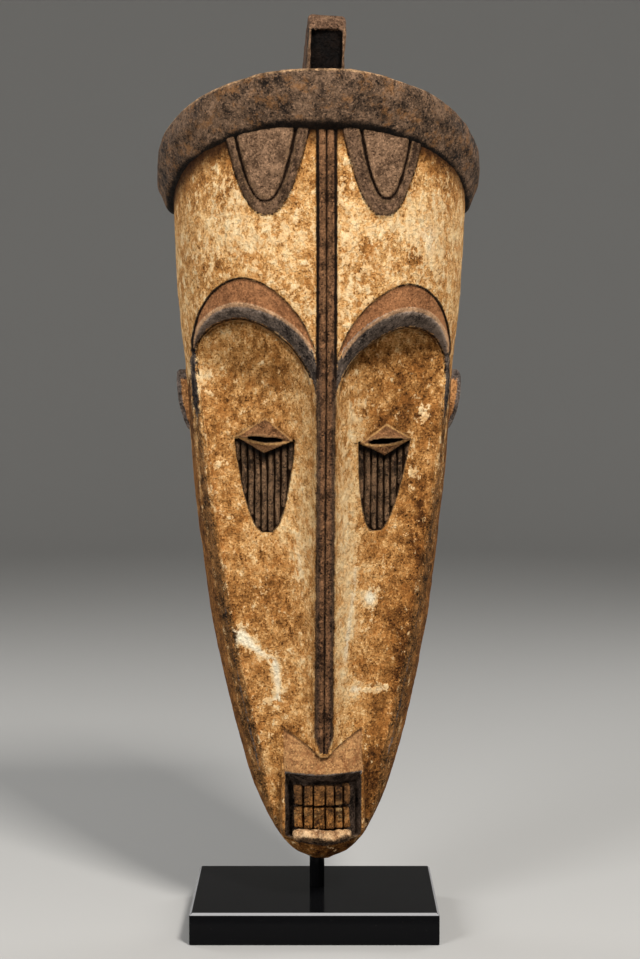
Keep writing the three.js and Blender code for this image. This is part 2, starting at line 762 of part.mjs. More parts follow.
// The post stands on the plate and carries a cross bar under the crown, where the mask rests.
function postSolid() {
  const ceiling = HOLLOW_TOP - fall(POST.y);
  const barZ = ceiling - POST.barRadius * Math.hypot(1, CROWN.slope) - GAP;
  const circle = (radius, place) =>
    steps(0, 2 * Math.PI, POST.sides)
      .slice(0, -1)
      .map((angle) => place(radius * Math.cos(angle), radius * Math.sin(angle)));
  const upright = (z, radius) => circle(radius, (a, b) => [POST.x + a, POST.y + b, z]);
  const bar = (x, radius) => circle(radius, (a, b) => [POST.x + x, POST.y + a, barZ + b]);
  const rod = loft([upright(PLATE.height + GAP, POST.radius), upright(barZ, POST.radius)]);
  const half = POST.barLength / 2;
  const chamfer = 1.4;
  const body = [bar(chamfer - half, POST.barRadius), bar(half - chamfer, POST.barRadius)];
  const ends = [-half, half].map((x) => bar(x, POST.barRadius - chamfer));
  return rod.add(loft([ends[0], ...body, ends[1]], flatCap(1, 2)));
}

function plateSolid() {
  const ring = (z, inset) => {
    const x = PLATE.width / 2 - inset;
    const y = PLATE.depth / 2 - inset;
    const c = PLATE.corner;
    return [
      [x, -y + c, z],
      [x, y - c, z],
      [x - c, y, z],
      [-x + c, y, z],
      [-x, y - c, z],
      [-x, -y + c, z],
      [-x + c, -y, z],
      [x - c, -y, z],
    ];
  };
  const top = PLATE.height;
  return loft([ring(0, 0.6), ring(0.6, 0), ring(top - PLATE.bevel, 0), ring(top, PLATE.bevel)]);
}

function meshOf(name, solid, material) {
  const mesh = solid.getMesh();
  const geometry = new THREE.BufferGeometry();
  geometry.setAttribute("position", new THREE.BufferAttribute(mesh.vertProperties, 3));
  geometry.setIndex(new THREE.BufferAttribute(mesh.triVerts, 1));
  const result = new THREE.Mesh(geometry, material);
  result.name = name;
  return result;
}

const onStand = new THREE.Group();
onStand.position.set(MASK.x, MASK.y, 0);
onStand.rotation.z = MASK.turn;
onStand.add(meshOf("mask", maskSolid(), CARVED_WOOD));
onStand.add(meshOf("post", postSolid(), BLACK_STEEL));

const whole = new THREE.Group();
whole.add(meshOf("base_plate", plateSolid(), BLACK_STEEL));
whole.add(onStand);

export default whole;
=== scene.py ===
# %% [markdown]
# # A carved mask on its stand
# This script dresses a tall wooden face mask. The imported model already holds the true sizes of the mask,
# the post and the plate, so the frame is loaded first and every piece here is fitted round it.
# Lengths are worked out in millimetres, as a carver would say them, and become metres at the very end.

# %% Load the frame
import math

import bmesh
import bpy
import numpy as np
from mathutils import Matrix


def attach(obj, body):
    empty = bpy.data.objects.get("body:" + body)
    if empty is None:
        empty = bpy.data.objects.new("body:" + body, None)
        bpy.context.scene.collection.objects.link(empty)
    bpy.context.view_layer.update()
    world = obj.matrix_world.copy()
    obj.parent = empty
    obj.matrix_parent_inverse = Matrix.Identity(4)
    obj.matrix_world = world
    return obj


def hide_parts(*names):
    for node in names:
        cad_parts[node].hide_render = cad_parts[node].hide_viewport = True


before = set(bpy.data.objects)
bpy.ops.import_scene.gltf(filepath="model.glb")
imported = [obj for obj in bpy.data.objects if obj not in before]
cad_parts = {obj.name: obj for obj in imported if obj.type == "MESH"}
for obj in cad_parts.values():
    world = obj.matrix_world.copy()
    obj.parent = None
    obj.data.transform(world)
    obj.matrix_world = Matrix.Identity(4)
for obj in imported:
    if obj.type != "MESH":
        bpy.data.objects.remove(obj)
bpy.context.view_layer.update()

MM = 0.001
print("nodes in the frame:", sorted(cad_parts))

# %% [markdown]
# ## Camera, stage and light
# The photograph was taken from a little above the middle of the mask, with a portrait lens and the
# camera tipped down by less than four degrees. The sensor's long side is 36 mm, as in a full frame camera.

# %% The camera
CAMERA_PLACE = (0.0045, -1.796, 0.4823)
CAMERA_PITCH = math.radians(3.655)
CAMERA_LENS = 82.0
camera = bpy.data.objects.new("camera", bpy.data.cameras.new("camera"))
bpy.context.collection.objects.link(camera)
camera.location = CAMERA_PLACE
camera.rotation_euler = (math.radians(90) - CAMERA_PITCH, 0, 0)
camera.data.sensor_width = 36
camera.data.lens = CAMERA_LENS
bpy.context.scene.camera = camera
print("camera at", CAMERA_PLACE)

# %% [markdown]
# The floor is a pale round sheet that curves up all round, like a photographer's paper cove. It has no
# horizon line, so it stays plain from every side. Four soft lights stand inside it: a strong key from the
# upper right, a weaker fill from the left and two strips behind that draw the edges of the dark wood.

# %% The cove
COVE_FLOOR = 3.2
COVE_BEND = 2.4
COVE_TOP = 6.0


def cove_mesh():
    """A flat round floor whose edge bends up into a wall, as a profile turned round the middle."""
    bend = [(COVE_FLOOR + COVE_BEND * math.sin(a), COVE_BEND * (1 - math.cos(a)))
            for a in np.linspace(0, math.pi / 2, 24)]
    profile = [(0.0, 0.0), (COVE_FLOOR / 2, 0.0)] + bend + [(COVE_FLOOR + COVE_BEND, COVE_TOP)]
    work = bmesh.new()
    around = 96
    rings = []
    for radius, height in profile:
        turns = [2 * math.pi * i / around for i in range(around)]
        rings.append([work.verts.new((radius * math.cos(a), radius * math.sin(a), height)) for a in turns])
    for lower, upper in zip(rings, rings[1:]):
        for i in range(around):
            j = (i + 1) % around
            work.faces.new((lower[i], lower[j], upper[j], upper[i]))
    bmesh.ops.remove_doubles(work, verts=work.verts, dist=1e-5)
    mesh = bpy.data.meshes.new("cove")
    work.to_mesh(mesh)
    work.free()
    mesh.shade_smooth()
    return mesh


cove = bpy.data.objects.new("cove", cove_mesh())
bpy.context.collection.objects.link(cove)
print("cove:", len(cove.data.polygons), "faces")

# %% The lights
MIDDLE = (0.0, 0.0, 0.4)


def soft_light(name, place, size, power, colour=(1, 1, 1)):
    """A rectangular light that is aimed at the middle of the object."""
    data = bpy.data.lights.new(name, "AREA")
    data.shape = "RECTANGLE"
    data.size, data.size_y = size
    data.energy = power
    data.color = colour
    light = bpy.data.objects.new(name, data)
    light.location = place
    aim = [m - p for m, p in zip(MIDDLE, place)]
    flat = math.hypot(aim[0], aim[1])
    light.rotation_euler = (math.atan2(flat, -aim[2]), 0, math.atan2(aim[1], aim[0]) - math.pi / 2)
    bpy.context.collection.objects.link(light)
    return light


soft_light("key", (0.75, -1.6, 2.1), (0.45, 0.55), 65, (1.0, 0.97, 0.93))
soft_light("fill", (-1.3, -1.7, 1.2), (0.7, 1.0), 26)
soft_light("back_right", (1.3, 1.1, 1.3), (0.5, 1.2), 9)
soft_light("back_left", (-1.4, 1.0, 1.2), (0.5, 1.2), 9)

world = bpy.data.worlds.new("studio")
world.use_nodes = True
world.node_tree.nodes["Background"].inputs["Color"].default_value = (1, 1, 1, 1)
world.node_tree.nodes["Background"].inputs["Strength"].default_value = 0.17
bpy.context.scene.world = world
bpy.context.scene.view_settings.view_transform = "Standard"
print("four soft lights and an even grey sky")

# %% [markdown]
# ## The mask's own frame
# A carver works from the middle line of the block. In the mask's frame x runs to the viewer's right, y runs
# back from the face and z is the height over the table. The finished mask is turned a little on its post,
# so one function carries points from the mask's frame to the room.

# %% From the mask's frame to the room
MASK_X = 3.7
MASK_Y = 15.0
MASK_TURN = math.radians(3.2)


def turned(a, b, angle):
    """Turns the pair (a, b) about the origin, from a towards b."""
    c, s = math.cos(angle), math.sin(angle)
    return c * a - s * b, s * a + c * b


def to_room(points):
    """Takes points in millimetres in the mask's frame to metres in the room."""
    points = np.asarray(points, float)
    x, y = turned(points[..., 0], points[..., 1], MASK_TURN)
    return np.stack([MASK_X + x, MASK_Y + y, points[..., 2]], axis=-1) * MM


def smooth(value, start, stop):
    """Rises from 0 at `start` to 1 at `stop` without a kink; it falls if `stop` is the smaller."""
    t = np.clip((value - start) / (stop - start), 0, 1)
    return t * t * (3 - 2 * t)


def mix(a, b, share):
    return a + (b - a) * share


def signed_power(value, power):
    """A power that keeps the sign of its base."""
    return np.sign(value) * np.abs(value) ** power


def through(*stations):
    """A smooth curve through (place, value) stations that never swings past them."""
    places, values = np.array(stations, float).T
    slopes = np.diff(values) / np.diff(places)
    before = np.concatenate([slopes[:1], slopes])
    after = np.concatenate([slopes, slopes[-1:]])
    same_way = before * after > 0
    tangents = np.where(same_way, 2 * before * after / np.where(same_way, before + after, 1), 0)

    def curve(place):
        at = np.clip(place, places[0], places[-1])
        i = np.clip(np.searchsorted(places, at) - 1, 0, len(slopes) - 1)
        span = places[i + 1] - places[i]
        t = (at - places[i]) / span
        bend = t * t * (3 - 2 * t)
        leave = t * (1 - t) ** 2 * span * tangents[i]
        arrive = t * t * (t - 1) * span * tangents[i + 1]
        return values[i] + (values[i + 1] - values[i]) * bend + leave + arrive

    return curve


print("the mask's middle line stands at", to_room((0, 0, 0)).round(4).tolist())

# %% [markdown]
# ## The block
# Seen from the front the head is a long heart. Each level of it is close to half an ellipse, a little
# sharper than one at the chin and a little fuller at the crown, and runs straight towards the back. Five
# curves over the height say how wide, deep and full it is.

# %% The block's sections
HALF_WIDTH = through((58.5, 6), (66, 22.5), (82, 37), (112, 52.2), (150, 64.9), (200, 77.6), (260, 89.7),
                     (320, 98), (380, 104.6), (460, 110), (515, 115.7), (585, 119.5), (650, 121))
FRONT = through((58.5, 42), (66, 56), (80, 67), (150, 73), (300, 88), (480, 107), (560, 110), (650, 104))
WIDEST_AT = through((58.5, -41), (130, -30), (229, -16), (347, -3), (400, 0))
BACK_EDGE = through((58.5, -24), (80, -14), (120, 8), (200, 30), (300, 42), (400, 50), (600, 55))
FULLNESS = through((350, 1.9), (500, 2.2))
CHIN = 58.5
CROWN = 622.0
CROWN_SLOPE = 0.509
CROWN_LEVEL = 8.0
LEAN_FROM = 535.0
DOME = 18.0
BACK_TAPER = 0.03
WALL = 12.0
HOLLOW_FLOOR = 71.0
HOLLOW_TOP = 604.0
BRIM_TOP = 628.3
BRIM_HEIGHT = 38.0


def hull_y(x, z):
    """How far back the plain block's front lies."""
    power = FULLNESS(z)
    widest = WIDEST_AT(z)
    out = np.minimum(1, np.abs(x) / HALF_WIDTH(z))
    return widest - (FRONT(z) + widest) * (1 - out ** power) ** (1 / power)


def fall(y):
    """How much lower the crown lies at y than at y = 0; it is higher in front and levels off behind."""
    behind = CROWN_LEVEL * (1 - np.exp(-np.maximum(y, 0) / CROWN_LEVEL))
    return CROWN_SLOPE * np.where(y < 0, y, behind)


def leaning(y, level):
    return level - fall(y) * smooth(level, LEAN_FROM, CROWN)


print("widest:", 2 * float(HALF_WIDTH(600.0)), "mm")

# %% [markdown]
# ## The sunk face
# Each half of the face is hollowed out of the block. It has a narrow bevel down its outer side, a deep
# cove under the brow and a low step beside the nose. The outline of such a hollow is a polygon drawn once,
# and everything else follows from how far a point lies inside it. That distance also guides the paint,
# because the dark bands follow the same carved edges.

# %% The face between bevel and nose
PANEL_MARGIN = through((86, 5), (112, 8), (150, 15), (250, 16), (350, 13.5), (400, 12), (460, 9))
BEVEL_MARGIN = through((86, 2.5), (150, 5), (250, 7.5), (350, 4), (460, 3.4))
PANEL_BOTTOM = 86.0
PANEL_LIP = 4.0
DISH_SHARE, DISH_POWER, NOSE_POWER, JAW_POWER = 0.62, 1.5, 9.0, 0.9
JAW_TO_CHEEK = (110, 200)
RIDGE_HALF = 7.3
RIDGE_RISE = 3.0


def panel_edge(z):
    return HALF_WIDTH(z) - PANEL_MARGIN(z)


def face_y(x, z):
    """How far back the sunk face lies between its rim and the nose."""
    edge = panel_edge(z)
    rim = hull_y(edge, z) + PANEL_LIP
    rise = -rim - (FRONT(z) - RIDGE_RISE)
    t = np.clip((edge - np.abs(x)) / (edge - RIDGE_HALF), 0, 1)
    dished = DISH_SHARE * t ** DISH_POWER + (1 - DISH_SHARE) * t ** NOSE_POWER
    return rim + rise * mix(t ** JAW_POWER, dished, smooth(z, *JAW_TO_CHEEK))


print("the cheek lies", round(float(face_y(50.0, 300.0) - hull_y(50.0, 300.0)), 1), "mm under the block")

# %% The three arches of each brow
BROW_POWER = 1.65
BROWS = {
    -1: {"band": (67, 499.7, 436, 101.5, 28), "edge": (68, 510.7, 462, 104.5, 36),
         "groove": (65, 530.5, 463, 105, 57)},
    1: {"band": (67, 493, 434, 99.5, 28), "edge": (67, 507, 458, 102.5, 34),
        "groove": (66, 525.7, 459, 104, 54)},
}


def arch_points(arch, count=80):
    """From the foot on the nose over the top to the outer end."""
    middle, top, inner, outer, drop = arch
    turn = np.linspace(0, 1, count)
    along, up = np.cos(np.pi * turn), np.sin(np.pi * turn)
    inner_x = middle - (middle - RIDGE_HALF) * np.clip(along, 0, 1) ** (2 / BROW_POWER)
    inner_z = inner + (top - inner) * np.clip(up, 0, 1) ** (2 / BROW_POWER)
    outer_x = middle - (outer - middle) * along
    outer_z = top - drop * (1 - up)
    before_top = along > 0
    return np.stack([np.where(before_top, inner_x, outer_x), np.where(before_top, inner_z, outer_z)], axis=-1)


def side_outline(arch, nose_x, margin):
    """Up the side of the nose, over the brow and down along the bevel."""
    over = arch_points(arch)
    heights = np.linspace(over[-1, 1] - 4, PANEL_BOTTOM, 60)
    down = np.stack([HALF_WIDTH(heights) - margin(heights), heights], axis=-1)
    foot = np.array([[nose_x, PANEL_BOTTOM], [nose_x, over[0, 1]]])
    return np.concatenate([foot, over[1:], down])


def distance_to(x, z, line):
    """How far points lie from a line of points."""
    nearest = np.full(x.shape, np.inf)
    for (ax, az), (bx, bz) in zip(line[:-1], line[1:]):
        dx, dz = bx - ax, bz - az
        along = np.clip(((x - ax) * dx + (z - az) * dz) / (dx * dx + dz * dz + 1e-12), 0, 1)
        nearest = np.minimum(nearest, (x - ax - along * dx) ** 2 + (z - az - along * dz) ** 2)
    return np.sqrt(nearest)


def signed_distance(x, z, outline):
    """How far points lie inside a closed outline, negative outside."""
    closed = np.concatenate([outline, outline[:1]])
    inside = np.zeros(x.shape, bool)
    for (ax, az), (bx, bz) in zip(closed[:-1], closed[1:]):
        crosses = (az > z) != (bz > z)
        inside ^= crosses & (x < ax + (z - az) * (bx - ax) / (bz - az if bz != az else 1))
    return np.where(inside, 1, -1) * distance_to(x, z, closed)


def crescent_outline(brow):
    """From the groove over the crescent back along the brow's edge."""
    over, under = arch_points(brow["groove"]), arch_points(brow["edge"])
    return np.concatenate([over, under[::-1]])


print("left brow rises to", BROWS[-1]["edge"][1], "mm, right brow to", BROWS[1]["edge"][1], "mm")

# %% [markdown]
# ## From points to a mesh
# Most carved forms here are lofts: rings of points, one after another, joined by four-sided faces and
# pinched shut at both ends. One helper makes such a mesh and can hand every point a few numbers, such as
# its distance from a painted edge, which the materials read later as attributes. A second helper applies
# modifiers and leaves a plain mesh. Most often that is Decimate, which thins the flat stretches, so that the
# fine grid is only kept where there is something to see.

# %% A loft from rings of points
def object_from(name, mesh):
    item = bpy.data.objects.new(name, mesh)
    bpy.context.collection.objects.link(item)
    return item


def loft(name, rings, marks=None):
    """Joins rings of points, closes both ends and gives every point its marks."""
    rings = np.asarray(rings, float)
    ends = [rings[:1].mean(axis=1, keepdims=True), rings[-1:].mean(axis=1, keepdims=True)]
    start, stop = (np.repeat(end, rings.shape[1], axis=1) for end in ends)
    rings = np.concatenate([start, rings, stop])
    count, around = rings.shape[:2]
    ring, place = np.meshgrid(np.arange(count - 1), np.arange(around), indexing="ij")
    a = ring * around + place
    b = ring * around + (place + 1) % around
    faces = np.stack([a, b, b + around, a + around], axis=-1).reshape(-1, 4)
    mesh = bpy.data.meshes.new(name)
    mesh.from_pydata(rings.reshape(-1, 3).tolist(), [], faces.tolist())
    for mark, values in (marks or {}).items():
        padded = np.concatenate([values[:1], values, values[-1:]])
        layer = mesh.attributes.new(mark, "FLOAT", "POINT")
        layer.data.foreach_set("value", padded.astype(np.float32).ravel())
    work = bmesh.new()
    work.from_mesh(mesh)
    bmesh.ops.remove_doubles(work, verts=work.verts, dist=2e-6)
    bmesh.ops.dissolve_degenerate(work, edges=work.edges, dist=1e-6)
    bmesh.ops.recalc_face_normals(work, faces=work.faces)
    work.to_mesh(mesh)
    work.free()
    mesh.shade_smooth()
    return object_from(name, mesh)


def finished(item, *modifiers):
    """Applies modifiers, given as (type, settings), and leaves a plain mesh."""
    for kind, settings in modifiers:
        modifier = item.modifiers.new(kind.lower(), kind)
        for setting, value in settings.items():
            setattr(modifier, setting, value)
    depsgraph = bpy.context.evaluated_depsgraph_get()
    mesh = bpy.data.meshes.new_from_object(item.evaluated_get(depsgraph), depsgraph=depsgraph)
    item.modifiers.clear()
    item.data = mesh
    mesh.shade_smooth()
    return item


def vertices_in_mask(item):
    """The points of a piece back in the mask's frame, in millimetres."""
    place = np.empty(len(item.data.vertices) * 3, np.float32)
    item.data.vertices.foreach_get("co", place)
    x, y, z = place.reshape(-1, 3).astype(float).T / MM
    x, y = turned(x - MASK_X, y - MASK_Y, -MASK_TURN)
    return np.stack([x, y, z], axis=-1)


def set_mark(item, name, values):
    layer = item.data.attributes.new(name, "FLOAT", "POINT")
    layer.data.foreach_set("value", np.asarray(values, np.float32))


def triangle_count(item):
    return sum(len(face.vertices) - 2 for face in item.data.polygons)


# %% Unevenness left by the tools
# Three large odd numbers spread neighbouring cells over the whole table of random values.
HASH_STEPS = (73856093, 19349663, 83492791)
NOISE_VALUES = 4096


def lattice_noise(points, size, seed):
    """Smooth noise from -1 to 1 that changes over about `size`, in the unit of the points."""
    table = np.random.default_rng(seed).uniform(-1, 1, NOISE_VALUES)
    place = np.asarray(points) / size
    cell = np.floor(place).astype(np.int64)
    t = place - cell
    t = t * t * (3 - 2 * t)
    total = np.zeros(place.shape[:-1])
    for corner in np.ndindex(2, 2, 2):
        x, y, z = np.moveaxis((cell + corner) * HASH_STEPS, -1, 0)
        weight = np.prod(np.where(corner, t, 1 - t), axis=-1)
        total += table[(x ^ y ^ z) % NOISE_VALUES] * weight
    return total


def hand_carved(item, layers, seed):
    """Moves points along their normals; each layer is (size in mm, depth in mm)."""
    mesh = item.data
    count = len(mesh.vertices)
    place, normal = np.empty(count * 3, np.float32), np.empty(count * 3, np.float32)
    mesh.vertices.foreach_get("co", place)
    mesh.vertex_normals.foreach_get("vector", normal)
    place, normal = place.reshape(-1, 3).astype(float), normal.reshape(-1, 3)
    shift = sum(depth * MM * lattice_noise(place, size * MM, seed + i)
                for i, (size, depth) in enumerate(layers))
    mesh.vertices.foreach_set("co", (place + normal * shift[:, None]).ravel())
    mesh.update()


print("one millimetre here is", MM, "m")

# %% [markdown]
# ## The carved head
# The head is one skin. Its front is a fine grid that starts as the plain block, and each carving step then
# pushes the grid back or leaves it proud, in the order that a carver would work: the hollows of the face
# first, then the lines of the brows and the ridge, the hanging tongues of the forehead, the muzzle, and
# the eyes last. Every step also notes a distance in millimetres for the paint that goes on it.

# %% The grid on the block
ROW_STEP = 1.0
COLUMN_STEP = 0.85
SIDE_COLUMNS = 14
INNER_COLUMNS = 72
FINE_STEPS = 4001
EVEN_AT_LEVEL = 440.0


def even_angles(level):
    """Angles that step evenly along the block's curved front."""
    fine = np.linspace(0, math.pi, FINE_STEPS)
    x, y = front_curve(fine, level)
    length = np.concatenate([[0], np.cumsum(np.hypot(np.diff(x), np.diff(y)))])
    half_count = int(length[-1] / COLUMN_STEP / 2)
    return np.interp(np.linspace(0, length[-1], 2 * half_count + 1), length, fine)


def front_curve(angle, level):
    power = 2 / FULLNESS(level)
    x = HALF_WIDTH(level) * signed_power(np.cos(angle), power)
    y = WIDEST_AT(level) - (FRONT(level) + WIDEST_AT(level)) * np.abs(np.sin(angle)) ** power
    return x, y


below = np.arange(CHIN, HOLLOW_FLOOR, ROW_STEP)
hollowed = np.linspace(HOLLOW_FLOOR, HOLLOW_TOP, int((HOLLOW_TOP - HOLLOW_FLOOR) / ROW_STEP))
above = np.linspace(HOLLOW_TOP, CROWN, int((CROWN - HOLLOW_TOP) / ROW_STEP))
levels = np.concatenate([below, [HOLLOW_FLOOR], hollowed, above])[:, None]
is_hollow = np.zeros(len(levels), bool)
is_hollow[len(below) + 1:len(below) + 1 + len(hollowed)] = True

angles = even_angles(EVEN_AT_LEVEL)[None, :]
front_x, front_y = front_curve(angles, levels)
side_share = np.linspace(0, 1, SIDE_COLUMNS + 1)[None, 1:]
side_x = HALF_WIDTH(levels) * (1 - BACK_TAPER * side_share ** 2)
side_y = mix(WIDEST_AT(levels), BACK_EDGE(levels), side_share)
outer_x = np.concatenate([side_x[:, ::-1], front_x, -side_x], axis=1)
outer_y = np.concatenate([side_y[:, ::-1], front_y, side_y], axis=1)
outer_z = leaning(outer_y, levels)

skin = {"x": outer_x, "y": outer_y.copy(), "z": outer_z, "level": levels + 0 * outer_x}
PAINTS = ("panel", "strip", "crescent", "bead", "bevel", "band", "band_worn_and_lit", "ridge", "flank", "tongue",
          "tongue_ring", "lip", "ribs", "lid", "lid_highlight", "mouth", "mouth_edge", "furrow", "slit")
UNPAINTED = -20.0
paint = {name: np.full(outer_x.shape, UNPAINTED) for name in PAINTS}


def widen_paint(name, distance, here=...):
    """Adds a zone to a painted one, by how many millimetres points lie inside it."""
    paint[name][here] = np.maximum(paint[name][here], distance)


print("grid:", outer_x.shape, "points")

# %% The paint round a hollow
# A dark band follows the brow. From the brow's end it goes on as a narrow strip down the outer side, and
# a joint closes the notch between the two. Heights and places are in millimetres.
BAND_FADE, BAND_FADE_BY = (405, 440), 4
BROW_FOOT, BROW_FULL = 436, 470
BESIDE_NOSE, NOSE_SIDE, OUTER_SIDE, OUTER_EDGE = 20, 40, 80, 90
STRIP_OVERLAP, STRIP_START, STRIP_TAPER = 6, 1.0, 0.12
STRIP_INSET, STRIP_NARROWS = 1.3, (6, 26)
JOINT_DROP, JOINT_REACH, JOINT_HALF, JOINT_INSET = 12, 18, 1.6, 0.6
BEVEL_WIDER, BEVEL_WIDENS, BEVEL_INSET = 1.5, (380, 300), 1.0
SIDE_TOP, SIDE_TOP_FADE, SIDE_REACH = 452, 0.14, 6
CORNER_Y, CORNER_FADE = -6, 0.2
UNDER_BROW_HALF, UNDER_BROW_AT = 0.7, 0.5


def paint_band(brow, here, x, z, out, into):
    end_x, end_z = brow["edge"][3], brow["edge"][1] - brow["edge"][4]
    past_end = (x > OUTER_EDGE) & (z < end_z + STRIP_OVERLAP)
    taper = np.where(past_end, end_x + STRIP_START + STRIP_TAPER * (end_z - z) - x, -UNPAINTED)
    narrows = smooth(z, *(end_z - drop for drop in STRIP_NARROWS))
    strip_inset = STRIP_INSET * narrows * (x > OUTER_SIDE)
    band = np.minimum(np.minimum(out, -into - strip_inset), taper)
    at_joint = np.abs(z - end_z + JOINT_DROP) < JOINT_REACH
    joint = np.where(at_joint, JOINT_HALF - np.abs(x - end_x + JOINT_INSET), UNPAINTED)
    band = np.maximum(band, joint)
    fading = np.where(x > NOSE_SIDE, band - BAND_FADE_BY * (1 - smooth(z, *BAND_FADE)), UNPAINTED)
    paint["band"][here] = np.where(z > BROW_FOOT, band, fading)
    bevel = band + BEVEL_WIDER * smooth(z, *BEVEL_WIDENS) - BEVEL_INSET
    paint["bevel"][here] = np.where(x > BESIDE_NOSE, bevel, UNPAINTED)


def paint_outside(here, x, z, out):
    """The brown edge of the block beside a hollow, which fades out where the skin turns to the side."""
    from_corner = (CORNER_Y - skin["y"][here]) * CORNER_FADE
    below_top = (SIDE_TOP - z) * SIDE_TOP_FADE
    beside = np.minimum(np.minimum(-out, HALF_WIDTH(z) - x + SIDE_REACH), np.minimum(below_top, from_corner))
    paint["strip"][here] = np.where(x > BESIDE_NOSE, beside, UNPAINTED)


print("the band's side strip is", STRIP_INSET, "mm narrower than the band")

# %% Hollow out the two halves of the face
BAND_TURN = 13.0
SIDE_DROP = 2.5
LIP_POWER = 1.6
COVE_WIDTH = 2.4


def cut_panels():
    for side, brow in BROWS.items():
        here = (side * skin["x"] > RIDGE_HALF - 2) & (skin["z"] > PANEL_BOTTOM - 6)
        here &= skin["level"] < LEAN_FROM
        x, z = side * skin["x"][here], skin["z"][here]
        out = signed_distance(x, z, side_outline(brow["edge"], RIDGE_HALF - 1, BEVEL_MARGIN))
        into = signed_distance(x, z, side_outline(brow["band"], RIDGE_HALF, PANEL_MARGIN))
        share = np.clip(out / np.maximum(out - into, 1e-6), 0, 1)
        low_drop = np.where(x < NOSE_SIDE, RIDGE_RISE, SIDE_DROP)
        drop = mix(low_drop, BAND_TURN, smooth(z, BROW_FOOT, BROW_FULL))
        face = face_y(x, z)
        lip = np.minimum(hull_y(x, z) + drop * share ** LIP_POWER, face)
        cut = np.where(out > 0, mix(lip, face, smooth(into, 0, COVE_WIDTH)), skin["y"][here])
        skin["y"][here] = np.maximum(cut, skin["y"][here])
        paint["panel"][here] = np.maximum(into, UNPAINTED)
        paint_band(brow, here, x, z, out, into)
        paint_outside(here, x, z, out)
        # A thin dark line under the brow band, where the cove turns in: painted shadow.
        under_brow = np.where(z > SIDE_TOP, UNDER_BROW_HALF - np.abs(into - UNDER_BROW_AT), UNPAINTED)
        widen_paint("furrow", under_brow, here)


cut_panels()
print("deepest socket point:", round(float((skin["y"] - outer_y).max()), 1), "mm behind the grid")

# %% Cut the crescents over the brows
CRESCENT_FROM = 440
CRESCENT_DEPTH, CRESCENT_SHALLOWS = 2.0, 0.5
BEAD_HEIGHT, BEAD_AT, BEAD_HALF = 0.6, 0.8, 0.9
CLEAR_OF_NOSE = 12
EYE_MIDDLE, EYE_REACH = 66, 20
PALE_LINE_AT, PALE_LINE_HALF, PALE_LINE_LOWER = (0.2, 0.4), (1.2, 0.5), 1.3
WORN_DEPTH = (1.5, 3.0)
GROOVE_LINE, GROOVE_LINE_WIDER = 0.45, 0.65


def paint_brow_edge(side, here, x, below, beyond):
    """A painted highlight along the brow's edge, and worn paint under it made paler as a painted highlight,
    both broader over the eye.
    """
    over_eye = np.exp(-((x - EYE_MIDDLE) / EYE_REACH) ** 2)
    at, half, worn = (low + more * over_eye for low, more in (PALE_LINE_AT, PALE_LINE_HALF, WORN_DEPTH))
    if side > 0:
        at = at + PALE_LINE_LOWER * smooth(x, 60, 30)
    along = (x > CLEAR_OF_NOSE) & ~beyond
    paint["bead"][here] = np.where(along, half - np.abs(below - at), UNPAINTED)
    paint["band_worn_and_lit"][here] = np.where(along & (below > -1), worn - below, UNPAINTED)


def cut_crescents():
    for side, brow in BROWS.items():
        here = (side * skin["x"] > 4) & (skin["z"] > CRESCENT_FROM) & (skin["level"] < LEAN_FROM)
        x, z = side * skin["x"][here], skin["z"][here]
        inside = signed_distance(x, z, crescent_outline(brow))
        from_groove = distance_to(x, z, arch_points(brow["groove"]))
        from_edge = distance_to(x, z, arch_points(brow["edge"]))
        share = from_groove / (from_groove + from_edge + 1e-6)
        depth = CRESCENT_DEPTH * (1 - CRESCENT_SHALLOWS * share) * smooth(inside, -0.3, 0.7)
        bead = BEAD_HEIGHT * np.exp(-((from_edge - BEAD_AT) / BEAD_HALF) ** 2) * (inside > -0.5)
        skin["y"][here] += depth * smooth(from_edge, 0.4, 2.2) - bead
        paint["crescent"][here] = inside
        below = np.where(inside > 0, -from_edge, from_edge)
        paint_brow_edge(side, here, x, below, (inside < 0) & (from_groove < from_edge))
        # A dark line along the groove over the crescent: painted shadow under the proud forehead.
        widen_paint("furrow", GROOVE_LINE + GROOVE_LINE_WIDER * smooth(x, 40, 96) - from_groove, here)


cut_crescents()
print("the crescents are cut", CRESCENT_DEPTH, "mm deep")

# %% Cut the ridge that runs from the brim to the tip of the nose
# From the brows up the ridge is two rolls side by side, and below them it is one with rounded edges. A fine
# groove runs down its middle all the way.
ROLLS_FROM, ROLLS_FULL = 440, 470
ROLL_MIDDLE, ROLL_HALF, ROLL_DROP, NOSE_DROP = 3.8, 3.6, 0.9, 1.1
GROOVE_HALF, GROOVE_DEPTH, GROOVE_OUT = 1.3, 2.0, 0.4
RIDGE_BOTTOM = 150.0
SIDE_GROOVE = (460.0, 466.0)
POINT_CUT, POINT_HEIGHT = 4.5, 16
FLANK_FROM, FLANK_TOP = 3.9, 474
MIDDLE_LINE, SIDE_LINE, SIDE_LINE_FROM = 0.5, 1.3, 450


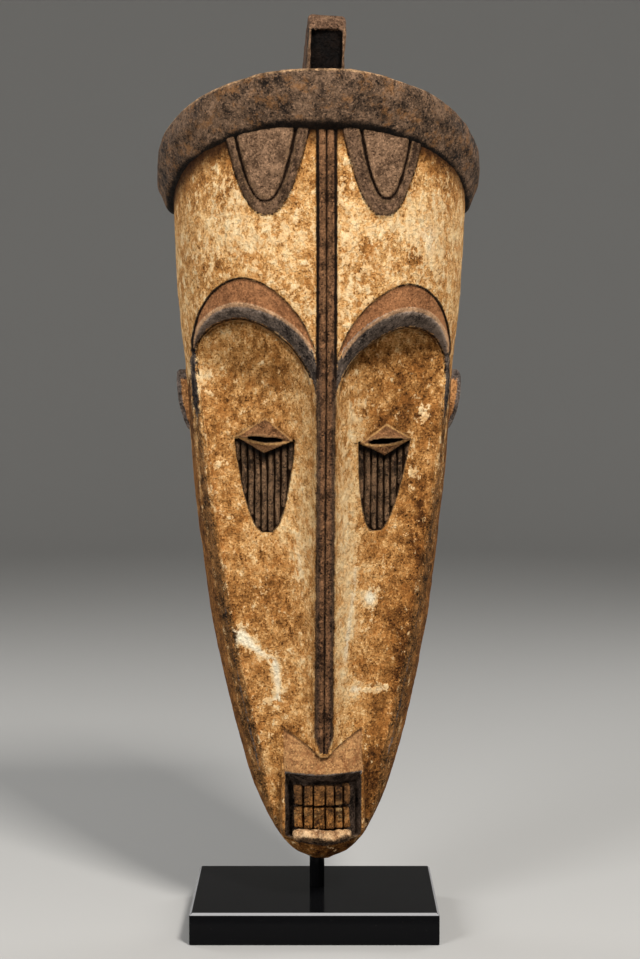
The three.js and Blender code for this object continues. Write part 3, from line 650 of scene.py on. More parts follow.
def cut_ridge():
    x, z = np.abs(skin["x"]), skin["z"]
    nose = (skin["y"] < -40) & (z > RIDGE_BOTTOM)
    middle = np.clip(1 - x / GROOVE_HALF, 0, 1) * smooth(z, RIDGE_BOTTOM - 2, RIDGE_BOTTOM + 3)
    beside = np.clip(1 - np.abs(x - RIDGE_HALF - GROOVE_OUT) / GROOVE_HALF, 0, 1) * smooth(z, *SIDE_GROOVE)
    on_ridge, near_x = x < RIDGE_HALF, np.minimum(x, RIDGE_HALF)
    rolls = smooth(z, ROLLS_FROM, ROLLS_FULL)
    two_rolls = ROLL_DROP * ((near_x - ROLL_MIDDLE) / ROLL_HALF) ** 2 * rolls * on_ridge
    one_roll = NOSE_DROP * (near_x / RIDGE_HALF) ** 4 * (1 - rolls) * on_ridge
    skin["y"] += np.where(nose, GROOVE_DEPTH * np.maximum(middle, beside) + two_rolls + one_roll, 0)
    point = POINT_CUT * (1 - smooth(z, RIDGE_BOTTOM - 2, RIDGE_BOTTOM + POINT_HEIGHT))
    paint["ridge"] = np.where(nose, RIDGE_HALF + 0.2 - x - point, UNPAINTED)
    flank = np.minimum(x - FLANK_FROM + 0.6 * point, RIDGE_HALF + 0.6 - x - point)
    paint["flank"] = np.where(nose & (z < FLANK_TOP), flank, UNPAINTED)
    # Dark lines in the ridge's middle groove and beside it: dark paint and painted shade.
    side_line = np.where(z > SIDE_LINE_FROM, SIDE_LINE - np.abs(x - RIDGE_HALF + 0.3), UNPAINTED)
    widen_paint("furrow", np.where(nose, np.maximum(MIDDLE_LINE - x, side_line), UNPAINTED))


cut_ridge()
print("the ridge is", 2 * RIDGE_HALF, "mm wide and ends at", RIDGE_BOTTOM, "mm")

# %% Raise the tongues that hang from the brim
# x, height of the tip, half width at 1 mm over the tip.
TONGUES = {
    -1: {"outer": (-46.5, 579.4, 5.15), "furrow": (-47.6, 588.8, 4.25), "inner": (-47.6, 590.6, 3.86)},
    1: {"outer": (45, 578.6, 5.1), "furrow": (47.2, 591, 3.75), "inner": (47.2, 593, 3.35)},
}
TONGUE_POWER = 0.44
TONGUE_RISE, TONGUE_FURROW, TONGUE_LENGTH, TONGUE_NEAR = 2.0, 3.0, 120.0, 34
CHANNEL_INSET, TONGUE_LINE = 0.1, 0.55


def inside_tongue(tongue):
    """How far each point of the skin lies inside a tongue."""
    middle, tip, reach = tongue
    height = TONGUE_LENGTH * np.linspace(0, 1, 40) ** 2
    half = reach * height ** TONGUE_POWER
    outline = np.stack([np.concatenate([middle + half, middle - half[::-1]]),
                        np.concatenate([tip + height, tip + height[::-1]])], axis=-1)
    inside = np.full(skin["x"].shape, UNPAINTED)
    near = (np.abs(skin["x"] - middle) < TONGUE_NEAR) & (skin["z"] > tip - 12)
    inside[near] = signed_distance(skin["x"][near], skin["z"][near], outline)
    return inside


def raise_tongues():
    on_front = skin["y"] < -20
    for shapes in TONGUES.values():
        outer, furrow, inner = (inside_tongue(shapes[part]) for part in ("outer", "furrow", "inner"))
        proud = TONGUE_RISE * smooth(outer, -0.3, 1.2)
        proud -= TONGUE_FURROW * smooth(furrow, -0.6, 0.5)
        proud += TONGUE_FURROW * smooth(inner, -0.4, 1.0)
        skin["y"] -= np.where(on_front, proud, 0)
        # Dark lines in the tongue's channel and round its outer edge: painted shade.
        channel = np.minimum(furrow - CHANNEL_INSET, CHANNEL_INSET - inner)
        lines = np.maximum(channel, TONGUE_LINE - np.abs(outer + 0.5))
        zones = {"tongue": outer, "tongue_ring": np.minimum(outer, -furrow), "furrow": lines}
        for zone, distance in zones.items():
            widen_paint(zone, np.where(on_front, distance, UNPAINTED))


raise_tongues()
print("the tongues hang down to", TONGUES[1]["outer"][1], "mm")

# %% Block out the muzzle, then cut the lip panel and the mouth
MUZZLE_HALF, MUZZLE_BOTTOM, MUZZLE_FRONT, MUZZLE_ROLL = 35.0, 78.0, 75.0, 17.0
LIP_Z, LIP_NOSE, LIP_NOSE_HALF, LIP_CORNER, LIP_SUNK = 135.0, 147.0, 3.0, 168.0, 2.0
MOUTH_HALF, MOUTH_INNER_HALF = 31.0, 26.5
MOUTH_BOTTOM, MOUTH_INNER_TOP, MOUTH_TOP, MOUTH_DEPTH = 81.0, 124.0, 134.0, 14.0
CHIN_ROLL, CHIN_ROLL_TOP, LIP_FALL, LIP_FALL_TOP = 6, 88, 14, 150
MUZZLE_REACH, MUZZLE_FILLET, OUT_OF_THE_WAY = 44, 3.0, 30
RIM_DROP, RIM_BEND, RIM_LINE_HEIGHT = 8, 0.008, 3


def lip_y(x):
    return -(MUZZLE_FRONT - MUZZLE_ROLL * (x / MUZZLE_HALF) ** 2)


def lip_top(x):
    aside = np.clip((np.abs(x) - LIP_NOSE_HALF) / (MOUTH_HALF - LIP_NOSE_HALF), 0, 1)
    return LIP_NOSE + (LIP_CORNER - LIP_NOSE) * aside ** 0.85


def melted(a, b, blend):
    """The nearer of two depths, with a fillet where they meet."""
    share = np.clip(0.5 + (b - a) / (2 * blend), 0, 1)
    return mix(b, a, share) - blend * share * (1 - share)


def carve_muzzle():
    here = (skin["z"] > MUZZLE_BOTTOM - 6) & (skin["z"] < LIP_CORNER + 4)
    here &= (np.abs(skin["x"]) < MUZZLE_REACH) & (skin["y"] < -10)
    x, y, z = skin["x"][here], skin["y"][here], skin["z"][here]
    aside = np.abs(x)
    half = np.minimum(MUZZLE_HALF, HALF_WIDTH(z) - 2)
    block = lip_y(x) + CHIN_ROLL * (1 - smooth(z, MUZZLE_BOTTOM, CHIN_ROLL_TOP))
    block = block + LIP_FALL * smooth(z, LIP_Z, LIP_FALL_TOP)
    under_chin = 1 - smooth(z, MUZZLE_BOTTOM - 5, MUZZLE_BOTTOM + 1)
    block += OUT_OF_THE_WAY * smooth(aside, half - 2, half + 4) + OUT_OF_THE_WAY * under_chin
    y = melted(y, block, MUZZLE_FILLET)
    top = lip_top(x)
    leans = np.clip((z - LIP_Z) / (top - LIP_Z), 0, 1)
    panel = mix(lip_y(x), face_y(x, top) + LIP_SUNK, leans)
    inside = np.minimum(np.minimum(top - z, z - LIP_Z + 2), MOUTH_HALF + 1 - aside)
    y = mix(y, panel, smooth(inside, 0, 0.9))
    into = np.minimum((MOUTH_HALF - aside) / (MOUTH_HALF - MOUTH_INNER_HALF),
                      (MOUTH_TOP - z) / (MOUTH_TOP - MOUTH_INNER_TOP))
    floor = lip_y(x) + MOUTH_DEPTH * np.clip(into, 0, 1)
    y = np.where((into > 0) & (z > MOUTH_BOTTOM), np.maximum(y, floor), y)
    skin["y"][here] = y
    below_rim = z - MOUTH_BOTTOM + RIM_DROP - RIM_BEND * x ** 2
    rim = np.minimum(np.minimum(MOUTH_HALF - aside, MOUTH_TOP - z), below_rim)
    paint["mouth"][here] = rim
    paint["mouth_edge"][here] = np.where(MOUTH_TOP - z < RIM_LINE_HEIGHT, 0.7 - np.abs(rim - 0.5), UNPAINTED)
    paint["lip"][here] = inside
    # A dark line along the top of the lip panel, under the cheek's edge: painted shade.
    at_top = (z > LIP_Z + 6) & (top - z < MOUTH_HALF + 1 - aside)
    widen_paint("furrow", np.where(at_top, 0.3 - np.abs(inside), UNPAINTED), here)


carve_muzzle()

# %% Sink the fields under the eyes and raise the lids
# Corners are (x, z). A field is its tip, the middle of its top, and its half width there.
EYES = {
    -1: {"lid": ((-23.7, 402), (-46.3, 420.4), (-70.4, 405.4), (-47.4, 391)), "slit": (-47, 402.6),
         "field": ((-45.2, 327.2), (-47, 403), 24), "ribs": 9},
    1: {"lid": ((28.5, 399.8), (51.7, 415.4), (72.3, 403), (50.1, 389)), "slit": (50.6, 401.2),
        "field": ((42.8, 328.4), (49.5, 401), 22), "ribs": 8},
}
FIELD_POWER = 0.39
FIELD_DEPTH = 4.6
LID_PROUD, LID_OVERHANG, LID_TOP_OVERHANG = 10.0, 4.0, 0.5
LID_CREST_X, LID_CREST_Z, LID_NEAR_X, LID_NEAR_Z = 0.68, 0.14, 30, 26
SLIT_HALF_WIDTH, SLIT_HALF_HEIGHT, SLIT_DEPTH, SLIT_POWER = 14.8, 2.0, 4.0, 0.8
SHADOW_FROM, SHADOW_RISE, SHADOW_FALL, SHADOW_WIDTH = 0.3, 0.5, 0.4, 2
FRONT_OF = -30


def field_shape(field, z):
    """The middle and the half width of a field at a height, and how steeply that width grows."""
    tip, top, half_width = field
    share = np.clip((z - tip[1]) / (top[1] - tip[1]), 1e-4, None)
    half = half_width * share ** FIELD_POWER
    slope = FIELD_POWER * half / (share * (top[1] - tip[1]))
    return mix(tip[0], top[0], share), half, slope


def sink_field(field):
    """Sinks a field under an eye, and marks it for the dark between the ribs: dark paint deepened as painted
    shade.
    """
    middle, half, slope = field_shape(field, skin["z"])
    inside = (half - np.abs(skin["x"] - middle)) / np.sqrt(1 + slope ** 2)
    (_, tip_z), (_, top_z), _ = field
    here = (skin["z"] > tip_z) & (skin["z"] < top_z) & (skin["y"] < FRONT_OF)
    skin["y"] += np.where(here, FIELD_DEPTH * smooth(inside, -0.3, 1.0), 0)
    widen_paint("ribs", np.where(here, inside, UNPAINTED))
    # A dark line round the field's border: painted shade.
    widen_paint("furrow", np.where(here & (skin["z"] < top_z - 8), 0.5 - np.abs(inside + 0.1), UNPAINTED))


def raise_lid(eye):
    """Raises a lid that slopes from a crest round its slit to its four corners."""
    inner, top, outer, bottom = eye["lid"]
    slit_x, slit_z = eye["slit"]
    here = (np.abs(skin["x"] - slit_x) < LID_NEAR_X) & (np.abs(skin["z"] - slit_z) < LID_NEAR_Z)
    here &= skin["y"] < FRONT_OF
    x, z = skin["x"][here], skin["z"][here]
    outwards = (x - slit_x) * (outer[0] - slit_x) > 0
    corner_x, corner_z = (np.where(outwards, outer[i], inner[i]) for i in (0, 1))
    across = np.abs((x - slit_x) / (corner_x - slit_x))
    line = mix(slit_z, corner_z, across)
    over = z > line
    up = np.abs(z - line) / np.where(over, top[1] - slit_z, slit_z - bottom[1])
    size = np.maximum(across + up, 1e-6)
    foot_r, crest_r = 1 / size, 1 / np.maximum(across / LID_CREST_X + up / LID_CREST_Z, 1e-6)
    from_crest = np.clip((1 - crest_r) / (foot_r - crest_r), 0, 1)
    side_foot = face_y(corner_x, corner_z) - LID_OVERHANG
    other_foot = np.where(over, face_y(np.array(top[0]), top[1]) - LID_TOP_OVERHANG,
                          face_y(np.array(bottom[0]), bottom[1]) - LID_OVERHANG)
    foot = mix(side_foot, other_foot, up / size)
    lid = mix(face_y(np.array(slit_x), slit_z) - LID_PROUD, foot, from_crest)
    inside = signed_distance(x, z, np.array([inner, top, outer, bottom]))
    y = mix(skin["y"][here], lid, smooth(inside, -0.3, 0.5))
    reach = np.clip(1 - ((x - slit_x) / SLIT_HALF_WIDTH) ** 2, 0, 1) ** SLIT_POWER
    open_by = SLIT_HALF_HEIGHT * reach - np.abs(z - line)
    floor = face_y(np.array(slit_x), slit_z) + SLIT_DEPTH
    skin["y"][here] = mix(y, floor, smooth(open_by, -0.2, 0.5))
    paint["lid"][here] = inside
    # The slit's shallow floor is painted near black: painted shade for the opening.
    paint["slit"][here] = open_by
    # A painted highlight on the lower lid next to the slit and just inside the lid's upper outline.
    paint["lid_highlight"][here] = np.where(z < line, 1.0 - np.abs(open_by + 1.6), 0.7 - np.abs(inside - 0.8))
    under = (z < line) & (across < 0.96) & (inside < 0)
    shadow = SHADOW_FROM + SHADOW_RISE * np.minimum(-inside, 1)
    shadow = shadow - SHADOW_FALL * np.maximum(-inside - SHADOW_WIDTH, 0)
    widen_paint("furrow", np.where(under, shadow, UNPAINTED), here)


for eye in EYES.values():
    sink_field(eye["field"])
    raise_lid(eye)
print("deepest cut:", round(float((skin["y"] - outer_y).max()), 1), "mm")

# %% Hollow the block from behind and close the skin
NOSE_FILL = 14.0
CHIN_WALL, THIN_BELOW, LEAST_HALF = 8.0, 150, 0.4
WALL_FROM, WALL_TO, ARCH_TOP = 512, 575, 495
RIM_POINTS = 8
CROWN_RINGS = 26
CROWN_CENTRE = -25.0


def inner_ring(level):
    """The inner wall, from the left rim round to the right one."""
    wall = WALL - (WALL - CHIN_WALL) * (1 - smooth(level, HOLLOW_FLOOR, THIN_BELOW))
    half = np.maximum(HALF_WIDTH(level) - wall, LEAST_HALF * HALF_WIDTH(level))
    x = half * np.linspace(-1, 1, INNER_COLUMNS)[None, :]
    face = face_y(np.maximum(np.abs(x), NOSE_FILL), np.minimum(level, ARCH_TOP)) + wall
    y = mix(face, hull_y(x * 1.05, level) + wall, smooth(level, WALL_FROM, WALL_TO))
    y = np.minimum(y, BACK_EDGE(level) - wall)
    share = np.linspace(1, 0, RIM_POINTS + 1)[None, :-1]
    side_x = x[:, :1] + BACK_TAPER * HALF_WIDTH(level) * share * 0.7
    side_y = mix(y[:, :1], BACK_EDGE(level), share)
    return (np.concatenate([side_x, x, -side_x[:, ::-1]], axis=1),
            np.concatenate([side_y, y, side_y[:, ::-1]], axis=1))


def skin_rings():
    """Closes each level of the front with the inner wall or a flat back, and domes the crown."""
    inner_x, inner_y = inner_ring(levels)
    inner_y = np.where(is_hollow[:, None], inner_y, BACK_EDGE(levels))
    inner_z = leaning(inner_y, levels)
    outer = np.stack([skin["x"], skin["y"], skin["z"]], axis=-1)
    rings = np.concatenate([outer, np.stack([inner_x, inner_y, inner_z], axis=-1)], axis=1)
    edge = rings[-1]
    domed = []
    for size in np.cos(np.linspace(0, math.pi / 2, CROWN_RINGS + 1))[1:-1]:
        y = CROWN_CENTRE + (edge[:, 1] - CROWN_CENTRE) * size
        domed.append(np.stack([edge[:, 0] * size, y, CROWN - fall(y) + DOME * (1 - size ** 2)], axis=-1))
    return np.concatenate([rings, np.array(domed)])


def over_skin(values, nothing=UNPAINTED):
    """Carries numbers known on the front over to the whole skin, which has `nothing` elsewhere."""
    whole = np.full(rings.shape[:2], nothing)
    whole[:values.shape[0], :values.shape[1]] = values
    return whole


rings = skin_rings()
marks = {name: over_skin(values) for name, values in paint.items()}
print("skin:", rings.shape[0], "rings of", rings.shape[1], "points")

# %% How pale the paint is, and where it has spots
# Over the forehead and down the sunk face: (height, paleness) of the paint before its spots.
FOREHEAD_TONE = through((440, 0.6), (500, 0.6), (530, 0.62), (565, 0.7), (590, 0.64), (625, 0.57))
FACE_TONE = through((60, 0.42), (110, 0.55), (180, 0.6), (240, 0.58), (330, 0.6), (400, 0.56), (460, 0.54),
                    (495, 0.53))
# Paler and darker spots: x, z, half width, half height, tilt in degrees, and how much paler. Some are the
# paint's own patches and some are painted light and shade, such as the pale strip right of the nose, the
# paler socket tops under the brows, and the dark right socket, outer right cheek and jaw.
SPOTS = [
    (-50, 563, 36, 20, 8, 0.08), (62, 574, 34, 22, -8, 0.1), (84, 560, 22, 40, 0, 0.08),
    (14, 540, 8, 60, 0, 0.06), (72, 548, 9, 10, 0, -0.34), (34, 556, 8, 9, 0, -0.26),
    (-80, 540, 10, 14, 20, -0.12), (50, 600, 16, 8, 0, -0.12), (16, 283, 11, 120, -1, 0.31),
    (24, 420, 7, 40, 6, 0.14), (-100, 455, 9, 34, 4, 0.14), (-17, 345, 11, 90, 0, 0.25),
    (-64, 425, 26, 14, 0, -0.08), (-24, 455, 12, 50, 6, 0.1), (-35, 270, 22, 24, 20, -0.22),
    (-70, 272, 18, 14, 0, -0.18), (-55, 190, 14, 22, 0, -0.05), (60, 446, 26, 30, 0, -0.2),
    (46, 488, 30, 14, 0, 0.13), (84, 470, 14, 30, 0, -0.1), (84, 362, 9, 30, 0, -0.14),
    (104, 560, 8, 40, 0, 0.07), (58, 420, 26, 12, 0, -0.18), (62, 330, 18, 90, -4, -0.16),
    (84, 300, 14, 70, -6, -0.3), (60, 220, 20, 60, -10, -0.23), (26, 380, 6, 40, 0, 0.1),
    (-84, 300, 10, 80, 4, -0.1), (-24, 160, 14, 14, 0, -0.1), (42, 122, 13, 42, 0, -0.38),
    (0, 68, 60, 10, 0, -0.5),
]
# Where flakes of bare chalk are left, in the same form; 0.5 leaves about half of the chalk.
CHALK = [
    (-50, 563, 34, 14, 8, 0.09), (-64, 590, 10, 16, 0, 0.06), (60, 568, 24, 12, -8, 0.1),
    (84, 552, 12, 30, 10, 0.12), (92, 590, 8, 26, -10, 0.09), (14, 545, 7, 60, 0, 0.07),
    (-20, 520, 8, 30, 20, 0.06), (30, 520, 10, 22, 20, 0.05), (-76, 580, 12, 24, 0, 0.06),
    (-66, 243, 10, 10, 10, 0.27), (-52, 231, 17, 5, -38, 0.28), (-37, 208, 4.5, 20, 6, 0.3),
    (-44, 190, 11, 4, 20, 0.2), (-19, 303, 3, 24, 4, 0.2), (38, 274, 7, 9, 0, 0.34),
    (26, 296, 3, 34, -4, 0.16), (19, 236, 3.5, 34, -6, 0.2), (26, 200, 8, 6, 0, 0.26),
    (46, 199, 12, 4, 8, 0.24), (82, 422, 6, 9, 0, 0.21), (34, 432, 6, 6, 0, 0.2),
    (24, 424, 6, 34, 6, 0.13), (-96, 450, 12, 12, 20, 0.14), (-84, 380, 6, 12, 0, 0.12),
    (76, 372, 4, 6, 0, 0.2), (-22, 340, 6, 60, 0, 0.06), (18, 330, 8, 90, 0, 0.19),
    (70, 390, 6, 10, 0, 0.1), (88, 180, 5, 5, 0, 0.1),
]
CHALK_ON_FOREHEAD, CHALK_ON_FACE = 0.43, 0.36
# Where the dark colours laid over the face are paler or darker, in the same form: painted light and shade,
# such as the paler outer ends of the crescents, the paler right lid, the darker left lid and the darker
# strips at the sides. These fade out where the skin turns to the side, because there every point has nearly
# the same x.
PAINTED_LIGHT_SPOTS = [
    (95, 492, 12, 18, 0, 0.6), (-96, 494, 12, 18, 0, 0.35), (-62, 503, 26, 5, 0, 0.3),
    (-47, 411, 16, 9, 0, -0.15), (51, 408, 16, 8, 0, 0.18), (-104, 436, 5, 38, 0, -0.35),
    (104, 436, 6, 38, 0, -0.25),
]


def spotted(x, z, spots):
    """The sum of all spots at each point."""
    total = 0 * x
    for middle_x, middle_z, half_x, half_z, tilt, amount in spots:
        across, up = turned(x - middle_x, z - middle_z, -math.radians(tilt))
        total = total + amount * np.exp(-((across / half_x) ** 2 + (up / half_z) ** 2))
    return total


def brim_shade(under_brim, amount, reach):
    """How much paleness is lost close under the brim: the brim's painted shadow, with grime."""
    return amount * np.exp(-np.clip(under_brim, 0, None) / reach)


print(len(SPOTS), "spots,", len(CHALK), "places for chalk,", len(PAINTED_LIGHT_SPOTS), "for the dark colours")

# %% Carry tone, chalk and wear over the skin
# Close under the brim the paint is darker and has less chalk: the brim's painted shadow, with grime.
BRIM_ON_TONE, BRIM_ON_CHALK = (0.3, 13), (0.3, 8)
UNDER_BRIM_RANGE = (-20, 60)
PANEL_EDGE = (-2, 3)
SIDE_PALER, SIDE_PALES, SIDE_PALER_OVER = 0.06, (84, 116), 500
CHIN_LOSS, CHIN_LOSS_UNDER = 0.05, 84
WEAR_REACH, WEAR_LIMIT, BAND_UNWORN = 2, 3, -1.5
PAINTED_LIGHT_CORNER = (-4, -24)


def paint_tone(x, z, inside_panel, under_brim):
    """How pale the paint is, from 0 for the darkest wood to 1 for bare chalk. It holds the brim's painted
    shadow, and painted light on the forehead's sides and in some spots.
    """
    tone = mix(FOREHEAD_TONE(z), FACE_TONE(z), smooth(inside_panel, *PANEL_EDGE))
    # The forehead's sides, which turn away from the lamps, are made paler: painted light.
    paler = SIDE_PALER * smooth(np.abs(x), *SIDE_PALES) * (z > SIDE_PALER_OVER)
    tone = tone - brim_shade(under_brim, *BRIM_ON_TONE) + paler
    return np.clip(tone + spotted(x, z, SPOTS), 0, 1)


def chalk_left(x, z, inside_panel, under_brim):
    """How much chalk is left; it shows where this and the noise of flakes add up to about 1."""
    chalk = mix(CHALK_ON_FOREHEAD, CHALK_ON_FACE, smooth(inside_panel, *PANEL_EDGE)) + spotted(x, z, CHALK)
    return chalk - brim_shade(under_brim, *BRIM_ON_CHALK) - CHIN_LOSS * (z < CHIN_LOSS_UNDER)


def blurred(values, reach):
    """The mean over a square that reaches so many rows and columns each way."""
    for axis in (0, 1):
        pad = [(reach, reach) if a == axis else (0, 0) for a in (0, 1)]
        padded = np.pad(values, pad, mode="edge")
        size = values.shape[axis]
        values = sum(np.take(padded, range(i, i + size), axis=axis) for i in range(2 * reach + 1))
        values = values / (2 * reach + 1)
    return values


carved = skin["y"] - outer_y
proud = np.clip(blurred(carved, WEAR_REACH) - carved, -WEAR_LIMIT, WEAR_LIMIT)
proud = np.where(paint["band"] > BAND_UNWORN, np.minimum(proud, 0), proud)
skin_x, skin_y, skin_z = np.moveaxis(rings, -1, 0)
marks["proud"] = over_skin(proud, 0.0)
marks["under_brim"] = np.clip(BRIM_TOP - BRIM_HEIGHT - fall(skin_y) - skin_z, *UNDER_BRIM_RANGE)
marks["tone"] = paint_tone(skin_x, skin_z, marks["panel"], marks["under_brim"])
marks["chalk"] = chalk_left(skin_x, skin_z, marks["panel"], marks["under_brim"])
marks["face"] = over_skin(np.ones(proud.shape), 0.0)
# Painted light and shade on the dark colours of the face.
marks["painted_light"] = spotted(skin_x, skin_z, PAINTED_LIGHT_SPOTS) * smooth(skin_y, *PAINTED_LIGHT_CORNER)
print("paleness from", marks["tone"].min().round(2), "to", marks["tone"].max().round(2))

# %% Make the head's mesh
HEAD_TRIANGLES = 185000
head = loft("head", to_room(rings), marks)
hand_carved(head, [(26, 0.5), (8, 0.3), (3.2, 0.16)], 11)
full_count = 2 * len(head.data.polygons)
finished(head, ("DECIMATE", {"ratio": min(1.0, HEAD_TRIANGLES / full_count)}))
print("head:", triangle_count(head), "triangles")


# %% [markdown]
# ## The brim
# A heavy roll of wood runs round the crown like the rim of a cap. It was carved from the same block, so it
# carries the same tool marks. Its upper outer edge is rubbed pale and has a painted highlight that is
# strongest on the left, and its underside is painted dark as shade. It is made as one section carried round
# an ellipse and on to the back, and its plane falls with the crown.

# %% Carry the brim's section round the head
BRIM_X, BRIM_HALF, BRIM_DEPTH, BRIM_BACK = -1.0, 132.3, 125.0, 46.0
BRIM_TURN = math.radians(-3)
BRIM_STEPS, BRIM_STRAIGHT_STEPS, BRIM_SPACING = 300, 26, 1.1
# The pale edge, worn paint with a painted highlight, is a round zone of the section: its middle, its radius,
# and how much narrower it gets to the right. The painted shade on the underside starts a little over the
# brim's underside, and its border wanders.
WORN_HIGHLIGHT_OUT, WORN_HIGHLIGHT_UP, WORN_HIGHLIGHT_RADIUS = -2.2, -1.6, 2.4
WORN_HIGHLIGHT_NARROWS, WORN_HIGHLIGHT_NARROWS_OVER = 1.6, (0, 90)
UNDERSIDE_SHADE_EDGE, UNDERSIDE_SHADE_SLOPE, UNDERSIDE_SHADE_SLOPE_UNDER = 1.2, 0.12, -30
UNDERSIDE_SHADE_WANDERS, UNDERSIDE_SHADE_WANDER_SIZE = 0.8, 14
# Outwards and upwards from the brim's top outer edge, from the inside over the top to the underside.
BRIM_SECTION = [
    (-34, -7), (-20, -3.4), (-7, -0.5), (-4, 0), (-2, -0.7), (-0.8, -2.4), (0, -6), (0.2, -11), (0, -17.1),
    (-1.2, -21), (-3, -24.7), (-5, -30), (-6.6, -34), (-8.6, -36.4), (-12, -37.8), (-15, -38), (-34, -36),
]


def finer(points, spacing):
    """Rounds a line of points off and spaces new ones evenly along it."""
    points = np.asarray(points, float)
    length = np.concatenate([[0], np.cumsum(np.hypot(*np.diff(points, axis=0).T))])
    curves = [through(*zip(length, values)) for values in points.T]
    places = np.linspace(0, length[-1], int(length[-1] / spacing) + 1)
    return np.stack([curve(places) for curve in curves], axis=-1)


def brim_rings():
    """The brim's section at every step of its path, and the marks for its pale edge and its painted underside
    shade.
    """
    section = finer(BRIM_SECTION, BRIM_SPACING)
    angle = np.linspace(-math.pi / 2, math.pi / 2, BRIM_STEPS)
    x, y = BRIM_HALF * np.sin(angle), -BRIM_DEPTH * np.cos(angle)
    normal = np.stack([x / BRIM_HALF ** 2, y / BRIM_DEPTH ** 2], axis=-1)
    normal /= np.linalg.norm(normal, axis=1, keepdims=True)
    back = np.linspace(BRIM_BACK / BRIM_STRAIGHT_STEPS, BRIM_BACK, BRIM_STRAIGHT_STEPS)
    side = BRIM_HALF * (1 - BACK_TAPER * (back / BRIM_BACK) ** 2)
    path = np.concatenate([np.stack([-side, back], axis=-1)[::-1], np.stack([x, y], axis=-1),
                           np.stack([side, back], axis=-1)])
    left, right = ([[turn, 0]] * BRIM_STRAIGHT_STEPS for turn in (-1, 1))
    normal = np.concatenate([left, normal, right])
    out, up = section[None, :, 0], section[None, :, 1]
    flat_x = BRIM_X + path[:, :1] + normal[:, :1] * out
    flat_y = path[:, 1:] + normal[:, 1:] * out
    z = BRIM_TOP - fall(flat_y) + up
    rings = np.stack([*turned(flat_x, flat_y, BRIM_TURN), z], axis=-1)
    # The pale edge is worn paint with a painted highlight; the dark underside is painted shade.
    edge = WORN_HIGHLIGHT_RADIUS - np.hypot(out - WORN_HIGHLIGHT_OUT, up - WORN_HIGHLIGHT_UP)
    edge = edge - WORN_HIGHLIGHT_NARROWS * smooth(flat_x, *WORN_HIGHLIGHT_NARROWS_OVER)
    underside_shade = -up - BRIM_HEIGHT + UNDERSIDE_SHADE_EDGE - out * (up < UNDERSIDE_SHADE_SLOPE_UNDER) * UNDERSIDE_SHADE_SLOPE
    underside_shade = underside_shade + UNDERSIDE_SHADE_WANDERS * lattice_noise(rings, UNDERSIDE_SHADE_WANDER_SIZE, 22)
    return rings, {"edge": edge, "underside_shade": underside_shade}


brim_points, brim_marks = brim_rings()
brim = loft("brim", to_room(brim_points), brim_marks)
hand_carved(brim, [(34, 0.9), (9, 0.4), (3.5, 0.16)], 21)
finished(brim, ("DECIMATE", {"ratio": 0.62}))
print("brim:", triangle_count(brim), "triangles")

# %% [markdown]
# ## The crest
# A strap of wood stands up from the crown and sweeps down to the back of the head. Its front was hollowed
# out under a cap, whose lip is broken and ragged. The strap is drawn as a side view with a width, the hollow
# is taken out with a boolean, and a fine remesh gives it enough points for the tool marks.

# %% The strap and its hollow
CREST_WIDTH, CREST_TOP, CREST_LEAN, CREST_WALL = 29.6, 737.0, math.radians(2.6), 2.6
CREST_RECESS, CREST_CAP, CREST_RAGGED = 7.0, 14.5, 2.0
CREST_MIDDLE = (-40.0, 690.0)
CREST_HALF_SIZE = (60, 49)
CREST_VOXEL = 0.8
CREST_SIDE_VIEW = [
    (-94, 668), (-92, 700), (-90, 721), (-87, 731), (-80, 736.4), (-66, CREST_TOP), (-46, 731),
    (-24, 714), (-4, 690), (16, 662), (26, 636), (-40, 636),
]


def leaned(points, lean=CREST_LEAN):
    """Leans points to the viewer's right about the middle of the crest."""
    points = np.asarray(points, float)
    x, up = turned(points[..., 0], points[..., 2] - CREST_MIDDLE[1], -lean)
    return np.stack([x, points[..., 1], CREST_MIDDLE[1] + up], axis=-1)


def prism(name, layers):
    """A solid through flat side views, each given as x and a list of (y, z) points."""
    rings = np.array([[(x, y, z) for y, z in view] for x, view in layers], float)
    return loft(name, to_room(leaned(rings)))


def crest_piece():
    def view(inset):
        scale = tuple(1 - inset / half_size for half_size in CREST_HALF_SIZE)
        return [tuple(m + (p - m) * k for p, m, k in zip(point, CREST_MIDDLE, scale))
                for point in CREST_SIDE_VIEW]

    half = CREST_WIDTH / 2
    strap = prism("crest", [(-half, view(3)), (-half + 0.8, view(1)), (-half + 3, view(0)),
                            (half - 3, view(0)), (half - 0.8, view(1)), (half, view(3))])
    roof = CREST_TOP - CREST_CAP
    inner = half - CREST_WALL
    rng = np.random.default_rng(9)
    cuts = []
    for x in np.linspace(-inner, inner, 9):
        lip = roof + CREST_RAGGED * rng.uniform(-1, 1)
        cuts.append((x, [(-120, 655), (-120, lip), (-92 + CREST_RECESS, lip + 1), (-84, 676), (-85, 655)]))
    cutter = prism("cutter", cuts)
    finished(strap, ("BOOLEAN", {"object": cutter, "operation": "DIFFERENCE", "solver": "EXACT"}),
             ("REMESH", {"mode": "VOXEL", "voxel_size": CREST_VOXEL * MM}))
    bpy.data.objects.remove(cutter)
    return strap


print("the crest is", CREST_WIDTH, "mm wide and rises to", CREST_TOP, "mm")

# %% Mark the crest's hollow, dark paint with painted shade, and its sides, a painted highlight
HOLLOW_FRONT, HOLLOW_STEP, HOLLOW_STEP_UNDER, HOLLOW_END = -88.5, 2.5, 700, -80
HOLLOW_PAST_LEFT, HOLLOW_PAST_RIGHT = 2.4, 0.6
SIDE_INSET, SIDE_UNDER_TOP, SIDE_END = 0.6, 10, -86
NO_MARK = -5


